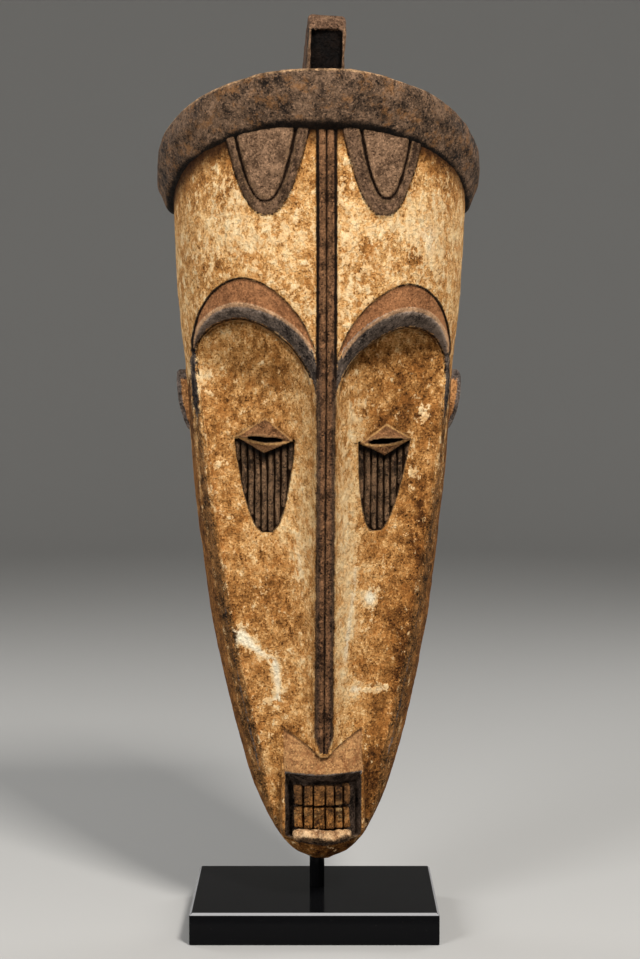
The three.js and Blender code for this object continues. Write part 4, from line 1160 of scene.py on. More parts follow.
def mark_crest(item):
    x, y, z = leaned(vertices_in_mask(item), -CREST_LEAN).T
    inner = CREST_WIDTH / 2 - CREST_WALL
    front = HOLLOW_FRONT - (z < HOLLOW_STEP_UNDER) * HOLLOW_STEP
    reach = inner + np.where(x < 0, HOLLOW_PAST_LEFT, HOLLOW_PAST_RIGHT)
    recess = np.minimum(np.minimum(reach - np.abs(x), CREST_TOP - CREST_CAP + 1 - z), y - front)
    # Dark paint with painted shade in the hollow under the cap.
    set_mark(item, "recess", np.where(y < HOLLOW_END + CREST_RECESS, recess, NO_MARK))
    # A painted highlight on the strap's front edges beside the hollow.
    side = np.minimum(np.abs(x) - inner - SIDE_INSET, CREST_TOP - SIDE_UNDER_TOP - z)
    set_mark(item, "side", np.where(y < SIDE_END, side, NO_MARK))


crest = crest_piece()
hand_carved(crest, [(15, 0.5), (5, 0.3), (2.2, 0.18)], 31)
finished(crest, ("DECIMATE", {"ratio": 0.6}))
mark_crest(crest)
print("crest:", triangle_count(crest), "triangles")

# %% [markdown]
# ## The ears
# Each ear is a small lug on the side of the head. Its outer face is dished and it draws in to the head at
# its lower end, so it is a loft of rings that shrink towards the middle of the dish.

# %% Two dished lugs
EAR_BOTTOM, EAR_TOP, EAR_Y, EAR_HALF_DEPTH = 407.0, 458.0, 6.0, 15.0
EAR_REACH, EAR_FALL, EAR_DISH = 117.8, 10.0, 2.5
EAR_FALL_POWER, EAR_FULLER, EAR_SPACING = 2.5, 0.25, 0.35
RIM_HALF, RIM_INSET, DISH_SIZE, DISH_FADE = 2.4, 1.2, 0.5, 20
DARK_TOP, DARK_TOP_FADE = 0.7, 12


def ear_rim(reach, size, up):
    """Dark on the edge of the outer face and over the top, but not in the dish."""
    edge = RIM_HALF - np.abs(EAR_REACH - RIM_INSET - reach)
    outside_dish = (size - DISH_SIZE) * DISH_FADE
    return np.maximum(np.minimum(edge, outside_dish), (up - DARK_TOP) * DARK_TOP_FADE)


def ear_piece(name, side):
    middle, half_height = (EAR_BOTTOM + EAR_TOP) / 2, (EAR_TOP - EAR_BOTTOM) / 2
    angle = np.linspace(0, 2 * math.pi, 97)[None, :-1]
    root = float(HALF_WIDTH(middle)) - 6
    steps = finer([(root, 1), (EAR_REACH - 3, 1), (EAR_REACH - 0.9, 0.95), (EAR_REACH, 0.86),
                   (EAR_REACH - 0.2, 0.7), (EAR_REACH - 1.6, 0.56), (EAR_REACH - EAR_DISH, 0.42),
                   (EAR_REACH - EAR_DISH - 0.3, 0.05)], EAR_SPACING)
    reach, size = steps[:, :1], steps[:, 1:]
    up = np.sin(angle) * size
    y = EAR_Y + EAR_HALF_DEPTH * size * (1 + EAR_FULLER * up) * np.cos(angle)
    drawn_in = EAR_FALL * ((1 - up) / 2) ** EAR_FALL_POWER
    rings = np.stack([side * (reach - drawn_in), y, middle + half_height * up], axis=-1)
    ear = loft(name, to_room(rings), {"rim": ear_rim(reach, size, up)})
    hand_carved(ear, [(10, 0.4), (4, 0.2)], 41)
    return ear


ears = [ear_piece("ear_left", -1), ear_piece("ear_right", 1)]
print("ears:", [triangle_count(ear) for ear in ears], "triangles")

# %% [markdown]
# ## Node trees
# The finishes and the repeated pieces are node trees. Three short helpers keep them readable: one adds a
# node together with what feeds it, one starts a tree with named sockets, and one runs a tree on a piece.

# %% A short way to write node trees
def add(tree, kind, inputs=None, **settings):
    """Adds a node. Its inputs are plain values or the outputs that feed them."""
    node = tree.nodes.new(kind)
    for setting, value in settings.items():
        setattr(node, setting, value)
    for key, value in (inputs or {}).items():
        if isinstance(value, bpy.types.NodeSocket):
            tree.links.new(value, node.inputs[key])
        else:
            node.inputs[key].default_value = value
    return node.outputs


def node_group(name, kind, inputs, outputs):
    """A tree with named sockets, given as name: type."""
    tree = bpy.data.node_groups.new(name, kind)
    for sockets, side in ((inputs, "INPUT"), (outputs, "OUTPUT")):
        for label, socket_type in sockets.items():
            tree.interface.new_socket(label, in_out=side, socket_type="NodeSocket" + socket_type)
    return tree, add(tree, "NodeGroupInput"), tree.nodes.new("NodeGroupOutput").inputs


def run_tree(item, tree, values):
    """Gives a piece its tree, sets the named inputs and leaves a plain mesh."""
    modifier = item.modifiers.new("made", "NODES")
    modifier.node_group = tree
    for socket in tree.interface.items_tree:
        if socket.in_out == "INPUT" and socket.name in values:
            modifier[socket.identifier] = values[socket.name]
    return finished(item)


# %% [markdown]
# ## Old paint on wood
# The surface is chalky earth paint, rubbed and soaked into the grain. Its look comes from a few shared
# effects, each made once as a shader group: noise at several sizes, a ragged edge that turns a carved
# distance into a worn border, dirt and rubbing that follow the relief, and the fine grain for the normals.

# %% Shared shader effects
def calc(tree, operation, a, b=0.0, clamp=False):
    return add(tree, "ShaderNodeMath", {0: a, 1: b}, operation=operation, use_clamp=clamp)[0]


def spread_out(tree, value, low, high, **settings):
    """Stretches values from low..high to 0..1."""
    inputs = {"Value": value, "From Min": low, "From Max": high}
    return add(tree, "ShaderNodeMapRange", inputs, **settings)["Result"]


def blend(tree, share, a, b):
    """A colour between a and b. The Mix node has a set of sockets for each type, all with the same names."""
    inputs = {"Factor": share, "A": a, "B": b}
    node = tree.nodes.new("ShaderNodeMix")
    node.data_type = "RGBA"
    for key, value in inputs.items():
        socket = [s for s in node.inputs if s.name == key and (s.type == "RGBA" or key == "Factor")][0]
        if isinstance(value, bpy.types.NodeSocket):
            tree.links.new(value, socket)
        else:
            socket.default_value = value if key == "Factor" else (*value, 1.0)
    return [s for s in node.outputs if s.type == "RGBA"][0]


def noise(tree, vector, scale, detail=3.0, roughness=0.6, stretch=(1, 1, 1)):
    """Noise whose features are about 1 / scale metres long."""
    moved = add(tree, "ShaderNodeMapping", {"Vector": vector, "Scale": stretch})["Vector"]
    return add(tree, "ShaderNodeTexNoise", {"Vector": moved, "Scale": scale, "Detail": detail,
                                            "Roughness": roughness})["Fac"]


def mottle_group():
    tree, given, result = node_group("mottle", "ShaderNodeTree", {"Vector": "Vector"}, {
        "Clouds": "Float", "Blotches": "Float", "Flakes": "Float", "Crumbs": "Float", "Pits": "Float",
        "Fibres": "Float"})
    vector = given["Vector"]
    looks = {
        "Clouds": (noise(tree, vector, 34, 3, 0.6, (1, 1, 0.8)), 0.32, 0.68),
        "Blotches": (noise(tree, vector, 120, 4, 0.65, (1, 1, 0.85)), 0.34, 0.66),
        "Flakes": (noise(tree, vector, 165, 5, 0.7, (1, 1, 0.8)), 0.0, 1.0),
        "Crumbs": (noise(tree, vector, 560, 2, 0.6), 0.56, 0.62),
        "Pits": (noise(tree, vector, 640, 2, 0.6), 0.44, 0.38),
        "Fibres": (noise(tree, vector, 620, 3, 0.6, (1, 1, 0.07)), 0.32, 0.68),
    }
    for label, (value, low, high) in looks.items():
        tree.links.new(spread_out(tree, value, low, high), result[label])
    return tree


def ragged_group():
    tree, given, result = node_group("ragged edge", "ShaderNodeTree", {
        "Distance": "Float", "Raggedness": "Float", "Softness": "Float", "Vector": "Vector"},
        {"Mask": "Float"})
    coarse = calc(tree, "SUBTRACT", noise(tree, given["Vector"], 190, 3), 0.5)
    fine = calc(tree, "SUBTRACT", noise(tree, given["Vector"], 900, 2), 0.5)
    rough = calc(tree, "MULTIPLY", calc(tree, "ADD", coarse, fine), given["Raggedness"])
    distance = calc(tree, "ADD", given["Distance"], calc(tree, "MULTIPLY", rough, 4.0))
    low = calc(tree, "MULTIPLY", given["Softness"], -1.0)
    mask = spread_out(tree, distance, low, given["Softness"], interpolation_type="SMOOTHSTEP")
    tree.links.new(mask, result["Mask"])
    return tree


def wear_group():
    tree, given, result = node_group("rubbed and dirty", "ShaderNodeTree", {
        "Color": "Color", "Rubbed": "Color", "Dirt": "Color", "Proud": "Float", "Vector": "Vector"},
        {"Color": "Color"})
    patchy = spread_out(tree, noise(tree, given["Vector"], 260, 4, 0.7), 0.35, 0.62)
    high = spread_out(tree, given["Proud"], 0.2, 1.4)
    low = spread_out(tree, given["Proud"], -0.1, -1.3)
    rubbed = calc(tree, "MULTIPLY", high, calc(tree, "MULTIPLY", patchy, 0.42))
    dirty = calc(tree, "MULTIPLY", low, calc(tree, "ADD", calc(tree, "MULTIPLY", patchy, 0.35), 0.3))
    colour = blend(tree, rubbed, given["Color"], given["Rubbed"])
    colour = blend(tree, dirty, colour, given["Dirt"])
    tree.links.new(colour, result["Color"])
    return tree


def grain_group():
    tree, given, result = node_group("grain and tool marks", "ShaderNodeTree", {
        "Vector": "Vector", "Depth": "Float"}, {"Normal": "Vector"})
    vector = given["Vector"]
    fibres = noise(tree, vector, 620, 4, 0.6, (1, 1, 0.06))
    crust = noise(tree, vector, 165, 5, 0.7, (1, 1, 0.8))
    pits = spread_out(tree, noise(tree, vector, 380, 3, 0.65), 0.35, 0.45)
    height = calc(tree, "ADD", calc(tree, "MULTIPLY", fibres, 0.15), calc(tree, "MULTIPLY", crust, 1.4))
    height = calc(tree, "ADD", height, calc(tree, "MULTIPLY", pits, 0.3))
    bump = add(tree, "ShaderNodeBump", {"Height": height, "Distance": given["Depth"], "Strength": 1.0})
    tree.links.new(bump["Normal"], result["Normal"])
    return tree


MOTTLE, RAGGED, WEAR, GRAIN = mottle_group(), ragged_group(), wear_group(), grain_group()
print("shared shader groups:", [tree.name for tree in (MOTTLE, RAGGED, WEAR, GRAIN)])

# %% The painted face
# Earth colours from the darkest wood to bare chalk, as places on a ramp and linear colours.
EARTHS = [(0.0, (0.028, 0.01, 0.003)), (0.22, (0.13, 0.047, 0.012)), (0.42, (0.3, 0.124, 0.03)),
          (0.6, (0.53, 0.25, 0.074)), (0.78, (0.74, 0.405, 0.15)), (1.0, (0.95, 0.66, 0.33))]
# Painted zones from the bottom layer up: attribute, inset in mm, raggedness, softness, dark and light colour.
PAINT_LAYERS = [
    ("strip", 0.0, 1.4, 1.0, (0.07, 0.025, 0.008), (0.42, 0.18, 0.05)),
    ("crescent", 0.3, 0.35, 0.4, (0.2, 0.08, 0.032), (0.47, 0.21, 0.088)),
    ("lip", 0.0, 0.3, 0.6, (0.3, 0.125, 0.045), (0.68, 0.37, 0.15)),
    ("bevel", 0.4, 2.4, 1.6, (0.014, 0.008, 0.004), (0.4, 0.18, 0.055)),
    ("band", 0.2, 0.8, 0.4, (0.006, 0.005, 0.006), (0.24, 0.18, 0.14)),
    # Next: the brow band's pale top, worn paint partly a painted highlight, and a painted highlight along the
    # brow's edge.
    ("band_worn_and_lit", 0.0, 0.8, 2.2, (0.14, 0.105, 0.08), (0.6, 0.45, 0.35)),
    ("bead", 0.0, 0.3, 0.9, (0.38, 0.21, 0.11), (0.74, 0.44, 0.24)),
    ("ridge", 0.0, 0.5, 1.0, (0.016, 0.007, 0.004), (0.32, 0.155, 0.072)),
    ("flank", 0.3, 0.8, 1.8, (0.008, 0.005, 0.004), (0.11, 0.062, 0.038)),
    ("tongue", 0.0, 0.3, 0.4, (0.08, 0.043, 0.024), (0.4, 0.235, 0.135)),
    ("tongue_ring", 0.0, 0.5, 0.5, (0.035, 0.019, 0.011), (0.27, 0.155, 0.09)),
    # The field floor between the ribs: dark paint deepened as painted shade.
    ("ribs", 0.0, 0.3, 0.4, (0.008, 0.004, 0.002), (0.03, 0.013, 0.006)),
    ("lid", 0.0, 0.3, 0.3, (0.085, 0.036, 0.014), (0.42, 0.2, 0.085)),
    # A painted highlight on the lids' edges.
    ("lid_highlight", 0.0, 0.2, 0.4, (0.3, 0.14, 0.045), (0.72, 0.42, 0.16)),
    ("mouth", 0.0, 0.5, 0.5, (0.006, 0.004, 0.003), (0.15, 0.1, 0.072)),
    ("mouth_edge", 0.0, 0.4, 0.4, (0.1, 0.085, 0.08), (0.42, 0.34, 0.29)),
    # furrow holds dark lines in grooves, creases and under the lids: painted shade, with dark paint on the
    # ridge.
    ("furrow", 0.0, 0.35, 0.5, (0.006, 0.004, 0.003), (0.02, 0.01, 0.006)),
    # The eye slits: painted shade for the openings.
    ("slit", -0.2, 0.1, 0.3, (0.003, 0.002, 0.002), (0.004, 0.003, 0.002)),
]
TONE_STEPS = {"Clouds": 0.28, "Blotches": 0.42, "Flakes": 0.36, "Crumbs": 0.2, "Pits": -0.3, "Fibres": 0.04}
TONE_CENTRES = {"Clouds": 0.5, "Blotches": 0.5, "Flakes": 0.4, "Crumbs": 0.25, "Pits": 0.22, "Fibres": 0.5}
SHADE_STEPS = {"Clouds": 0.36, "Crumbs": 0.5, "Fibres": 0.1, "Pits": -0.42}
STAIN, BRIM_SHADOW_AND_GRIME = (0.52, 0.2, 0.045), (0.035, 0.014, 0.006)
THIN_CHALK, FULL_CHALK, THICK_CHALK = (0.8, 0.46, 0.185), (0.97, 0.735, 0.42), (0.96, 0.85, 0.62)
RUBBED_WOOD, DIRT = (0.5, 0.3, 0.14, 1), (0.02, 0.009, 0.004, 1)
BARE_WOOD = ((0.11, 0.052, 0.022), (0.25, 0.13, 0.06))


def new_material(name, roughness, specular):
    """A material with its tree and its Principled shader."""
    material = bpy.data.materials.new(name)
    material.use_nodes = True
    shader = material.node_tree.nodes["Principled BSDF"]
    shader.inputs["Roughness"].default_value = roughness
    shader.inputs["Specular IOR Level"].default_value = specular
    return material, material.node_tree, shader


def object_place(tree):
    return add(tree, "ShaderNodeTexCoord")["Object"]


def mark(tree, name):
    return add(tree, "ShaderNodeAttribute", attribute_name=name)["Fac"]


def use(tree, group_tree, inputs):
    return add(tree, "ShaderNodeGroup", inputs, node_tree=group_tree)


def light_and_dark(tree, mottle):
    """How light a dark colour is from place to place: blotches, crumbs of dust and dark pits."""
    share = calc(tree, "SUBTRACT", calc(tree, "MULTIPLY", mottle["Blotches"], 0.7), 0.16)
    for label, amount in SHADE_STEPS.items():
        share = calc(tree, "ADD", share, calc(tree, "MULTIPLY", mottle[label], amount))
    return calc(tree, "MAXIMUM", share, 0.0, clamp=True)


def ramp(tree, value, stops):
    """A colour from a ramp of (place, colour) stops."""
    node = tree.nodes.new("ShaderNodeValToRGB")
    tree.links.new(value, node.inputs["Fac"])
    elements = node.color_ramp.elements
    while len(elements) < len(stops):
        elements.new(0.5)
    for element, (place, colour) in zip(elements, stops):
        element.position = place
        element.color = (*colour, 1)
    return node.outputs["Color"]


def painted_zones(tree, place, colour, shade, layers):
    """Lays painted zones over a colour, from the bottom layer up, each with its own ragged edge."""
    for name, inset, raggedness, softness, dark, light in layers:
        distance = calc(tree, "SUBTRACT", mark(tree, name), inset)
        mask = use(tree, RAGGED, {"Distance": distance, "Raggedness": raggedness, "Softness": softness,
                                  "Vector": place})["Mask"]
        colour = blend(tree, mask, colour, blend(tree, shade, dark, light))
    return colour


def finish_surface(tree, shader, place, colour, depth):
    """Joins a colour and the grain's normals to the shader."""
    tree.links.new(colour, shader.inputs["Base Color"])
    grain = use(tree, GRAIN, {"Vector": place, "Depth": depth})
    tree.links.new(grain["Normal"], shader.inputs["Normal"])


def face_paint():
    """Mottled earth colours and chalk, then stains, the brim's painted shadow with grime, the painted zones
    and wear.
    """
    material, tree, shader = new_material("painted_face", 0.8, 0.06)
    place = object_place(tree)
    mottle = use(tree, MOTTLE, {"Vector": place})
    tone = mark(tree, "tone")
    for label, amount in TONE_STEPS.items():
        shift = calc(tree, "MULTIPLY", calc(tree, "SUBTRACT", mottle[label], TONE_CENTRES[label]), amount)
        tone = calc(tree, "ADD", tone, shift)
    colour = ramp(tree, tone, EARTHS)
    chalk = spread_out(tree, calc(tree, "ADD", mottle["Flakes"], mark(tree, "chalk")), 0.975, 1.01)
    stain = spread_out(tree, noise(tree, place, 75, 5, 0.7), 0.52, 0.62)
    colour = blend(tree, calc(tree, "MULTIPLY", stain, 0.4), colour, STAIN)
    chalk_colour = blend(tree, mottle["Blotches"], THIN_CHALK, FULL_CHALK)
    thick = spread_out(tree, mark(tree, "chalk"), 0.55, 0.66)
    chalk_colour = blend(tree, thick, chalk_colour, THICK_CHALK)
    colour = blend(tree, calc(tree, "MULTIPLY", chalk, 0.95), colour, chalk_colour)
    # Close under the brim the colour darkens: the brim's painted shadow, with grime.
    brim_shadow_and_grime = spread_out(tree, mark(tree, "under_brim"), 19.0, -2.0, interpolation_type="SMOOTHSTEP")
    colour = blend(tree, calc(tree, "MULTIPLY", brim_shadow_and_grime, 0.94), colour, BRIM_SHADOW_AND_GRIME)
    # The painted light and shade make the dark colours paler or darker.
    shade = calc(tree, "ADD", light_and_dark(tree, mottle), mark(tree, "painted_light"), clamp=True)
    colour = painted_zones(tree, place, colour, shade, PAINT_LAYERS)
    worn = use(tree, WEAR, {"Color": colour, "Rubbed": RUBBED_WOOD, "Dirt": DIRT,
                            "Proud": mark(tree, "proud"), "Vector": place})
    on_face = calc(tree, "GREATER_THAN", mark(tree, "face"), 0.85)
    colour = blend(tree, on_face, blend(tree, shade, *BARE_WOOD), worn["Color"])
    finish_surface(tree, shader, place, colour, 0.004)
    return material


FACE_PAINT = face_paint()
print("painted zones:", [layer[0] for layer in PAINT_LAYERS])

# %% Dark wood for the brim, the crest, the ribs and the teeth
def dark_wood(name, dark, light, accent, accent_share, layers=(), depth=0.0035):
    """Mottled wood between two colours, with patches of a third and painted layers over it."""
    material, tree, shader = new_material(name, 0.66, 0.1)
    place = object_place(tree)
    mottle = use(tree, MOTTLE, {"Vector": place})
    share = light_and_dark(tree, mottle)
    colour = blend(tree, share, dark, light)
    patch = spread_out(tree, noise(tree, place, 85, 6, 0.78), 1 - accent_share, 1.12 - accent_share)
    colour = blend(tree, calc(tree, "MULTIPLY", patch, 0.75), colour, accent)
    colour = painted_zones(tree, place, colour, share, layers)
    finish_surface(tree, shader, place, colour, depth)
    return material


BRIM_WOOD = dark_wood("brim_wood", (0.012, 0.0075, 0.005), (0.265, 0.158, 0.094), (0.28, 0.13, 0.048), 0.48, [
    # The underside is painted shade; the edge is worn paint with a painted highlight.
    ("underside_shade", 0.0, 0.8, 1.4, (0.003, 0.002, 0.0015), (0.02, 0.012, 0.007)),
    ("edge", 0.0, 0.7, 0.6, (0.14, 0.08, 0.042), (0.62, 0.38, 0.2)),
])
CREST_WOOD = dark_wood("crest_wood", (0.04, 0.02, 0.011), (0.26, 0.145, 0.085), (0.3, 0.18, 0.1), 0.45, [
    # The hollow is dark paint with painted shade; the pale sides are a painted highlight.
    ("recess", -0.6, 0.8, 0.5, (0.0015, 0.001, 0.0008), (0.009, 0.0045, 0.0025)),
    ("side", 0.0, 0.6, 0.6, (0.05, 0.025, 0.014), (0.34, 0.2, 0.11)),
])
EAR_WOOD = dark_wood("ear_wood", (0.28, 0.11, 0.035), (0.85, 0.42, 0.16), (0.2, 0.09, 0.036), 0.3, [
    ("rim", 0.0, 0.6, 0.6, (0.04, 0.03, 0.026), (0.31, 0.24, 0.2)),
])
RIB_WOOD = dark_wood("rib_wood", (0.016, 0.009, 0.005), (0.26, 0.15, 0.08), (0.2, 0.09, 0.04), 0.42, [
    # The lid's painted shadow on the ribs.
    ("shadow_under_lid", 0.0, 0.4, 2.0, (0.004, 0.003, 0.002), (0.02, 0.012, 0.007)),
])
TOOTH_WOOD = dark_wood("tooth_wood", (0.03, 0.011, 0.003), (0.52, 0.225, 0.06), (0.8, 0.5, 0.2), 0.45, [
    # Painted shade in the mouth on the upper and outer teeth.
    ("mouth_shade", 0.0, 0.5, 3.0, (0.01, 0.004, 0.002), (0.2, 0.09, 0.03)),
])
LIP_WOOD = dark_wood("lip_wood", (0.28, 0.13, 0.055), (0.92, 0.57, 0.28), (0.93, 0.64, 0.37), 0.54, [
    ("under", 0.0, 1.0, 1.2, (0.02, 0.011, 0.006), (0.3, 0.17, 0.085)),
])


# %% Gloss black steel, and the pale cove
def black_steel():
    material, tree, shader = new_material("black_steel", 0.2, 0.05)
    place = object_place(tree)
    smudge = spread_out(tree, noise(tree, place, 26, 5, 0.7), 0.45, 0.75)
    specks = spread_out(tree, noise(tree, place, 700, 2, 0.6), 0.66, 0.74)
    rough = calc(tree, "ADD", calc(tree, "MULTIPLY", smudge, 0.14), 0.08)
    tree.links.new(rough, shader.inputs["Roughness"])
    colour = blend(tree, calc(tree, "MULTIPLY", specks, 0.25), (0.004, 0.004, 0.0045), (0.06, 0.055, 0.05))
    # The bevel is painted pale grey: a painted highlight.
    colour = blend(tree, mark(tree, "bevel_highlight"), colour, (0.34, 0.34, 0.35))
    tree.links.new(colour, shader.inputs["Base Color"])
    return material


def cove_paper():
    material, _, shader = new_material("cove_paper", 0.9, 0.1)
    shader.inputs["Base Color"].default_value = (0.5, 0.495, 0.48, 1)
    return material


STEEL = black_steel()
cove.data.materials.append(cove_paper())
print("materials:", sorted(material.name for material in bpy.data.materials))

# %% [markdown]
# ## The ribs under the eyes
# Under each lid hangs a field of upright ribs, like drawn-down lashes. They are rounded strips left
# standing in the sunk field. One line of points is laid down for each rib, a little over the field's floor,
# and a Geometry Nodes tree sweeps a round section along every line, with the radius held on the points, so
# that every rib can round off where it comes to the wall of the field.

# %% A node tree that sweeps a section along lines
def sweep_tree():
    tree, given, result = node_group(
        "sweep along lines", "GeometryNodeTree",
        {"Geometry": "Geometry", "Sides": "Int", "Material": "Material"}, {"Geometry": "Geometry"})
    curve = add(tree, "GeometryNodeMeshToCurve", {"Mesh": given["Geometry"]})
    radius = add(tree, "GeometryNodeInputNamedAttribute", {"Name": "radius"}, data_type="FLOAT")
    section = add(tree, "GeometryNodeCurvePrimitiveCircle", {"Resolution": given["Sides"], "Radius": 1.0})
    sweep = add(tree, "GeometryNodeCurveToMesh", {
        "Curve": curve["Curve"], "Profile Curve": section["Curve"], "Scale": radius["Attribute"],
        "Fill Caps": True})
    shaded = add(tree, "GeometryNodeSetShadeSmooth", {"Geometry": sweep["Mesh"]})
    real = add(tree, "GeometryNodeRealizeInstances", {"Geometry": shaded["Geometry"]})
    painted = add(tree, "GeometryNodeSetMaterial", {
        "Geometry": real["Geometry"], "Material": given["Material"]})
    tree.links.new(painted["Geometry"], result["Geometry"])
    return tree


SWEEP = sweep_tree()


def lines_object(name, lines, radii):
    """A mesh of edges from lines of points in the mask's frame, with a radius for each point."""
    points, edges, sizes = [], [], []
    for line, radius in zip(lines, radii):
        first = len(points)
        points.extend(to_room(line).tolist())
        edges.extend((first + i, first + i + 1) for i in range(len(line) - 1))
        sizes.extend((np.asarray(radius) * MM).tolist())
    mesh = bpy.data.meshes.new(name)
    mesh.from_pydata(points, edges, [])
    layer = mesh.attributes.new("radius", "FLOAT", "POINT")
    layer.data.foreach_set("value", sizes)
    return object_from(name, mesh)


print("sweep tree:", len(SWEEP.nodes), "nodes")

# %% Lay a line down for each rib
RIB_SHARE = 0.38
RIB_TOP_DEPTH = 1.6
LID_SHADOW = 4
RIB_ROUNDED_END = 2.6
RIB_UNEVEN, RIB_DRIFT, RIB_DRIFT_SIZE = 0.1, 0.35, 22


def rib_lines(eye):
    """A line down the field for each rib, and the radius along it."""
    rng = np.random.default_rng(7)
    field, count = eye["field"], eye["ribs"]
    tip, top, half_width = field
    pitch = 2 * half_width / count
    lines, radii = [], []
    for i in range(count):
        x = top[0] + (i + 0.5 - count / 2) * pitch
        heights = np.linspace(top[1] - 2, tip[1], 160)
        middle, half, _ = field_shape(field, heights)
        heights = heights[half - np.abs(x - middle) > -0.05 * pitch]
        along_rib = np.stack([heights, heights * 0, heights * 0 + 31 * i], axis=-1)
        drift = RIB_DRIFT * lattice_noise(along_rib, RIB_DRIFT_SIZE, 5)
        radius = pitch * RIB_SHARE * (1 + RIB_UNEVEN * rng.uniform(-1, 1))
        line_x = x + drift
        y = face_y(line_x, heights) + RIB_TOP_DEPTH + radius + 0.3 * drift
        lines.append(np.stack([line_x, y, heights], axis=-1))
        near_end = np.clip((heights - heights[-1]) / RIB_ROUNDED_END, 0.02, 1)
        radii.append(radius * np.sqrt(1 - (1 - near_end) ** 2))
    return lines, radii


ribs = []
for eye in EYES.values():
    piece = lines_object("ribs_" + ("left" if eye["slit"][0] < 0 else "right"), *rib_lines(eye))
    run_tree(piece, SWEEP, {"Sides": 14, "Material": RIB_WOOD})
    hand_carved(piece, [(9, 0.3), (3, 0.16)], 51)
    points = vertices_in_mask(piece)
    inside_lid = signed_distance(points[:, 0], points[:, 2], np.array(eye["lid"]))
    # The ribs are darker close under the lid: painted shadow.
    set_mark(piece, "shadow_under_lid", LID_SHADOW + inside_lid)
    ribs.append(piece)
print("ribs:", [triangle_count(piece) for piece in ribs], "triangles")

# %% [markdown]
# ## Teeth and lower lip
# The mouth is an open box with two rows of square teeth, cut through by upright and level saw lines. Every
# tooth is the same rounded peg, set on its own point with a size from the list and turned a little, which a
# second tree does with Instance on Points. The lower lip is a lumpy roll of pale wood under them.

# %% Set a peg on every point
TOOTH_WIDTHS = [6.6, 6.5, 8.1, 6, 5.6, 5]
TOOTH_SPACE, TEETH_LEFT, TEETH_BEHIND_LIP, TOOTH_DEPTH = 1.1, -22.7, 6.0, 11.0
TOOTH_ROWS = [(88.3, 104.8), (107, 122.6)]
TURN_SHARE, PEG_ROUNDING = 0.5, 0.12
TEETH_SHADE_HEIGHT, TEETH_SHADE_UPWARDS, TEETH_SHADE_MIDDLE, TEETH_SHADE_HALF, TEETH_SHADE_OUTWARDS = 108, 0.22, -2, 12, 0.2


def peg():
    """A block one unit wide, deep and high, with its edges rounded off."""
    work = bmesh.new()
    bmesh.ops.create_cube(work, size=1.0)
    bmesh.ops.bevel(work, geom=work.edges[:], offset=PEG_ROUNDING, segments=4, profile=0.6, affect="EDGES")
    bmesh.ops.subdivide_edges(work, edges=work.edges[:], cuts=1, use_grid_fill=True)
    mesh = bpy.data.meshes.new("peg")
    work.to_mesh(mesh)
    work.free()
    mesh.shade_smooth()
    return object_from("peg", mesh)


def instance_tree():
    tree, given, result = node_group(
        "a peg on every point", "GeometryNodeTree",
        {"Geometry": "Geometry", "Peg": "Object", "Unevenness": "Float", "Seed": "Int",
         "Material": "Material"},
        {"Geometry": "Geometry"})
    size, turn = (add(tree, "GeometryNodeInputNamedAttribute", {"Name": name}, data_type="FLOAT_VECTOR")
                  for name in ("size", "turn"))
    peg_shape = add(tree, "GeometryNodeObjectInfo", {"Object": given["Peg"]})
    random = add(tree, "FunctionNodeRandomValue", {
        "Min": (-1, -1, -1), "Max": (1, 1, 1), "Seed": given["Seed"]}, data_type="FLOAT_VECTOR")
    uneven = add(tree, "ShaderNodeVectorMath", {0: random["Value"], "Scale": given["Unevenness"]},
                 operation="SCALE")
    rotation = add(tree, "ShaderNodeVectorMath", {0: turn["Attribute"], 1: uneven["Vector"]},
                   operation="ADD")
    placed = add(tree, "GeometryNodeInstanceOnPoints", {
        "Points": given["Geometry"], "Instance": peg_shape["Geometry"], "Rotation": rotation["Vector"],
        "Scale": size["Attribute"]})
    real = add(tree, "GeometryNodeRealizeInstances", {"Geometry": placed["Instances"]})
    painted = add(tree, "GeometryNodeSetMaterial", {
        "Geometry": real["Geometry"], "Material": given["Material"]})
    tree.links.new(painted["Geometry"], result["Geometry"])
    return tree


def tooth_points():
    """A point for every tooth, which carries the tooth's size and how far it is turned."""
    places, sizes, turns = [], [], []
    left = TEETH_LEFT
    for width in TOOTH_WIDTHS:
        x = left + width / 2
        for bottom, top in TOOTH_ROWS:
            front = lip_y(x) + TEETH_BEHIND_LIP
            places.append((x, front + TOOTH_DEPTH / 2, (bottom + top) / 2))
            sizes.append((width, TOOTH_DEPTH, top - bottom))
            lip_turn = math.atan(2 * MUZZLE_ROLL * x / MUZZLE_HALF ** 2)
            turns.append((0, 0, MASK_TURN + lip_turn * TURN_SHARE))
        left += width + TOOTH_SPACE
    mesh = bpy.data.meshes.new("teeth")
    mesh.from_pydata(to_room(places).tolist(), [], [])
    for name, rows in (("size", np.array(sizes) * MM), ("turn", np.array(turns))):
        layer = mesh.attributes.new(name, "FLOAT_VECTOR", "POINT")
        layer.data.foreach_set("vector", rows.ravel().tolist())
    return object_from("teeth", mesh)


one_peg = peg()
teeth = tooth_points()
run_tree(teeth, instance_tree(), {"Peg": one_peg, "Unevenness": 0.05, "Seed": 3, "Material": TOOTH_WOOD})
bpy.data.objects.remove(one_peg)
hand_carved(teeth, [(8, 0.6), (3, 0.35)], 61)
tooth_x, _, tooth_z = vertices_in_mask(teeth).T
# The upper row and the outer teeth are darker, deeper in the mouth: painted shade.
upwards = TEETH_SHADE_UPWARDS * (tooth_z - TEETH_SHADE_HEIGHT)
outwards = TEETH_SHADE_OUTWARDS * (np.abs(tooth_x - TEETH_SHADE_MIDDLE) - TEETH_SHADE_HALF)
set_mark(teeth, "mouth_shade", upwards + outwards)
print("teeth:", triangle_count(teeth), "triangles")

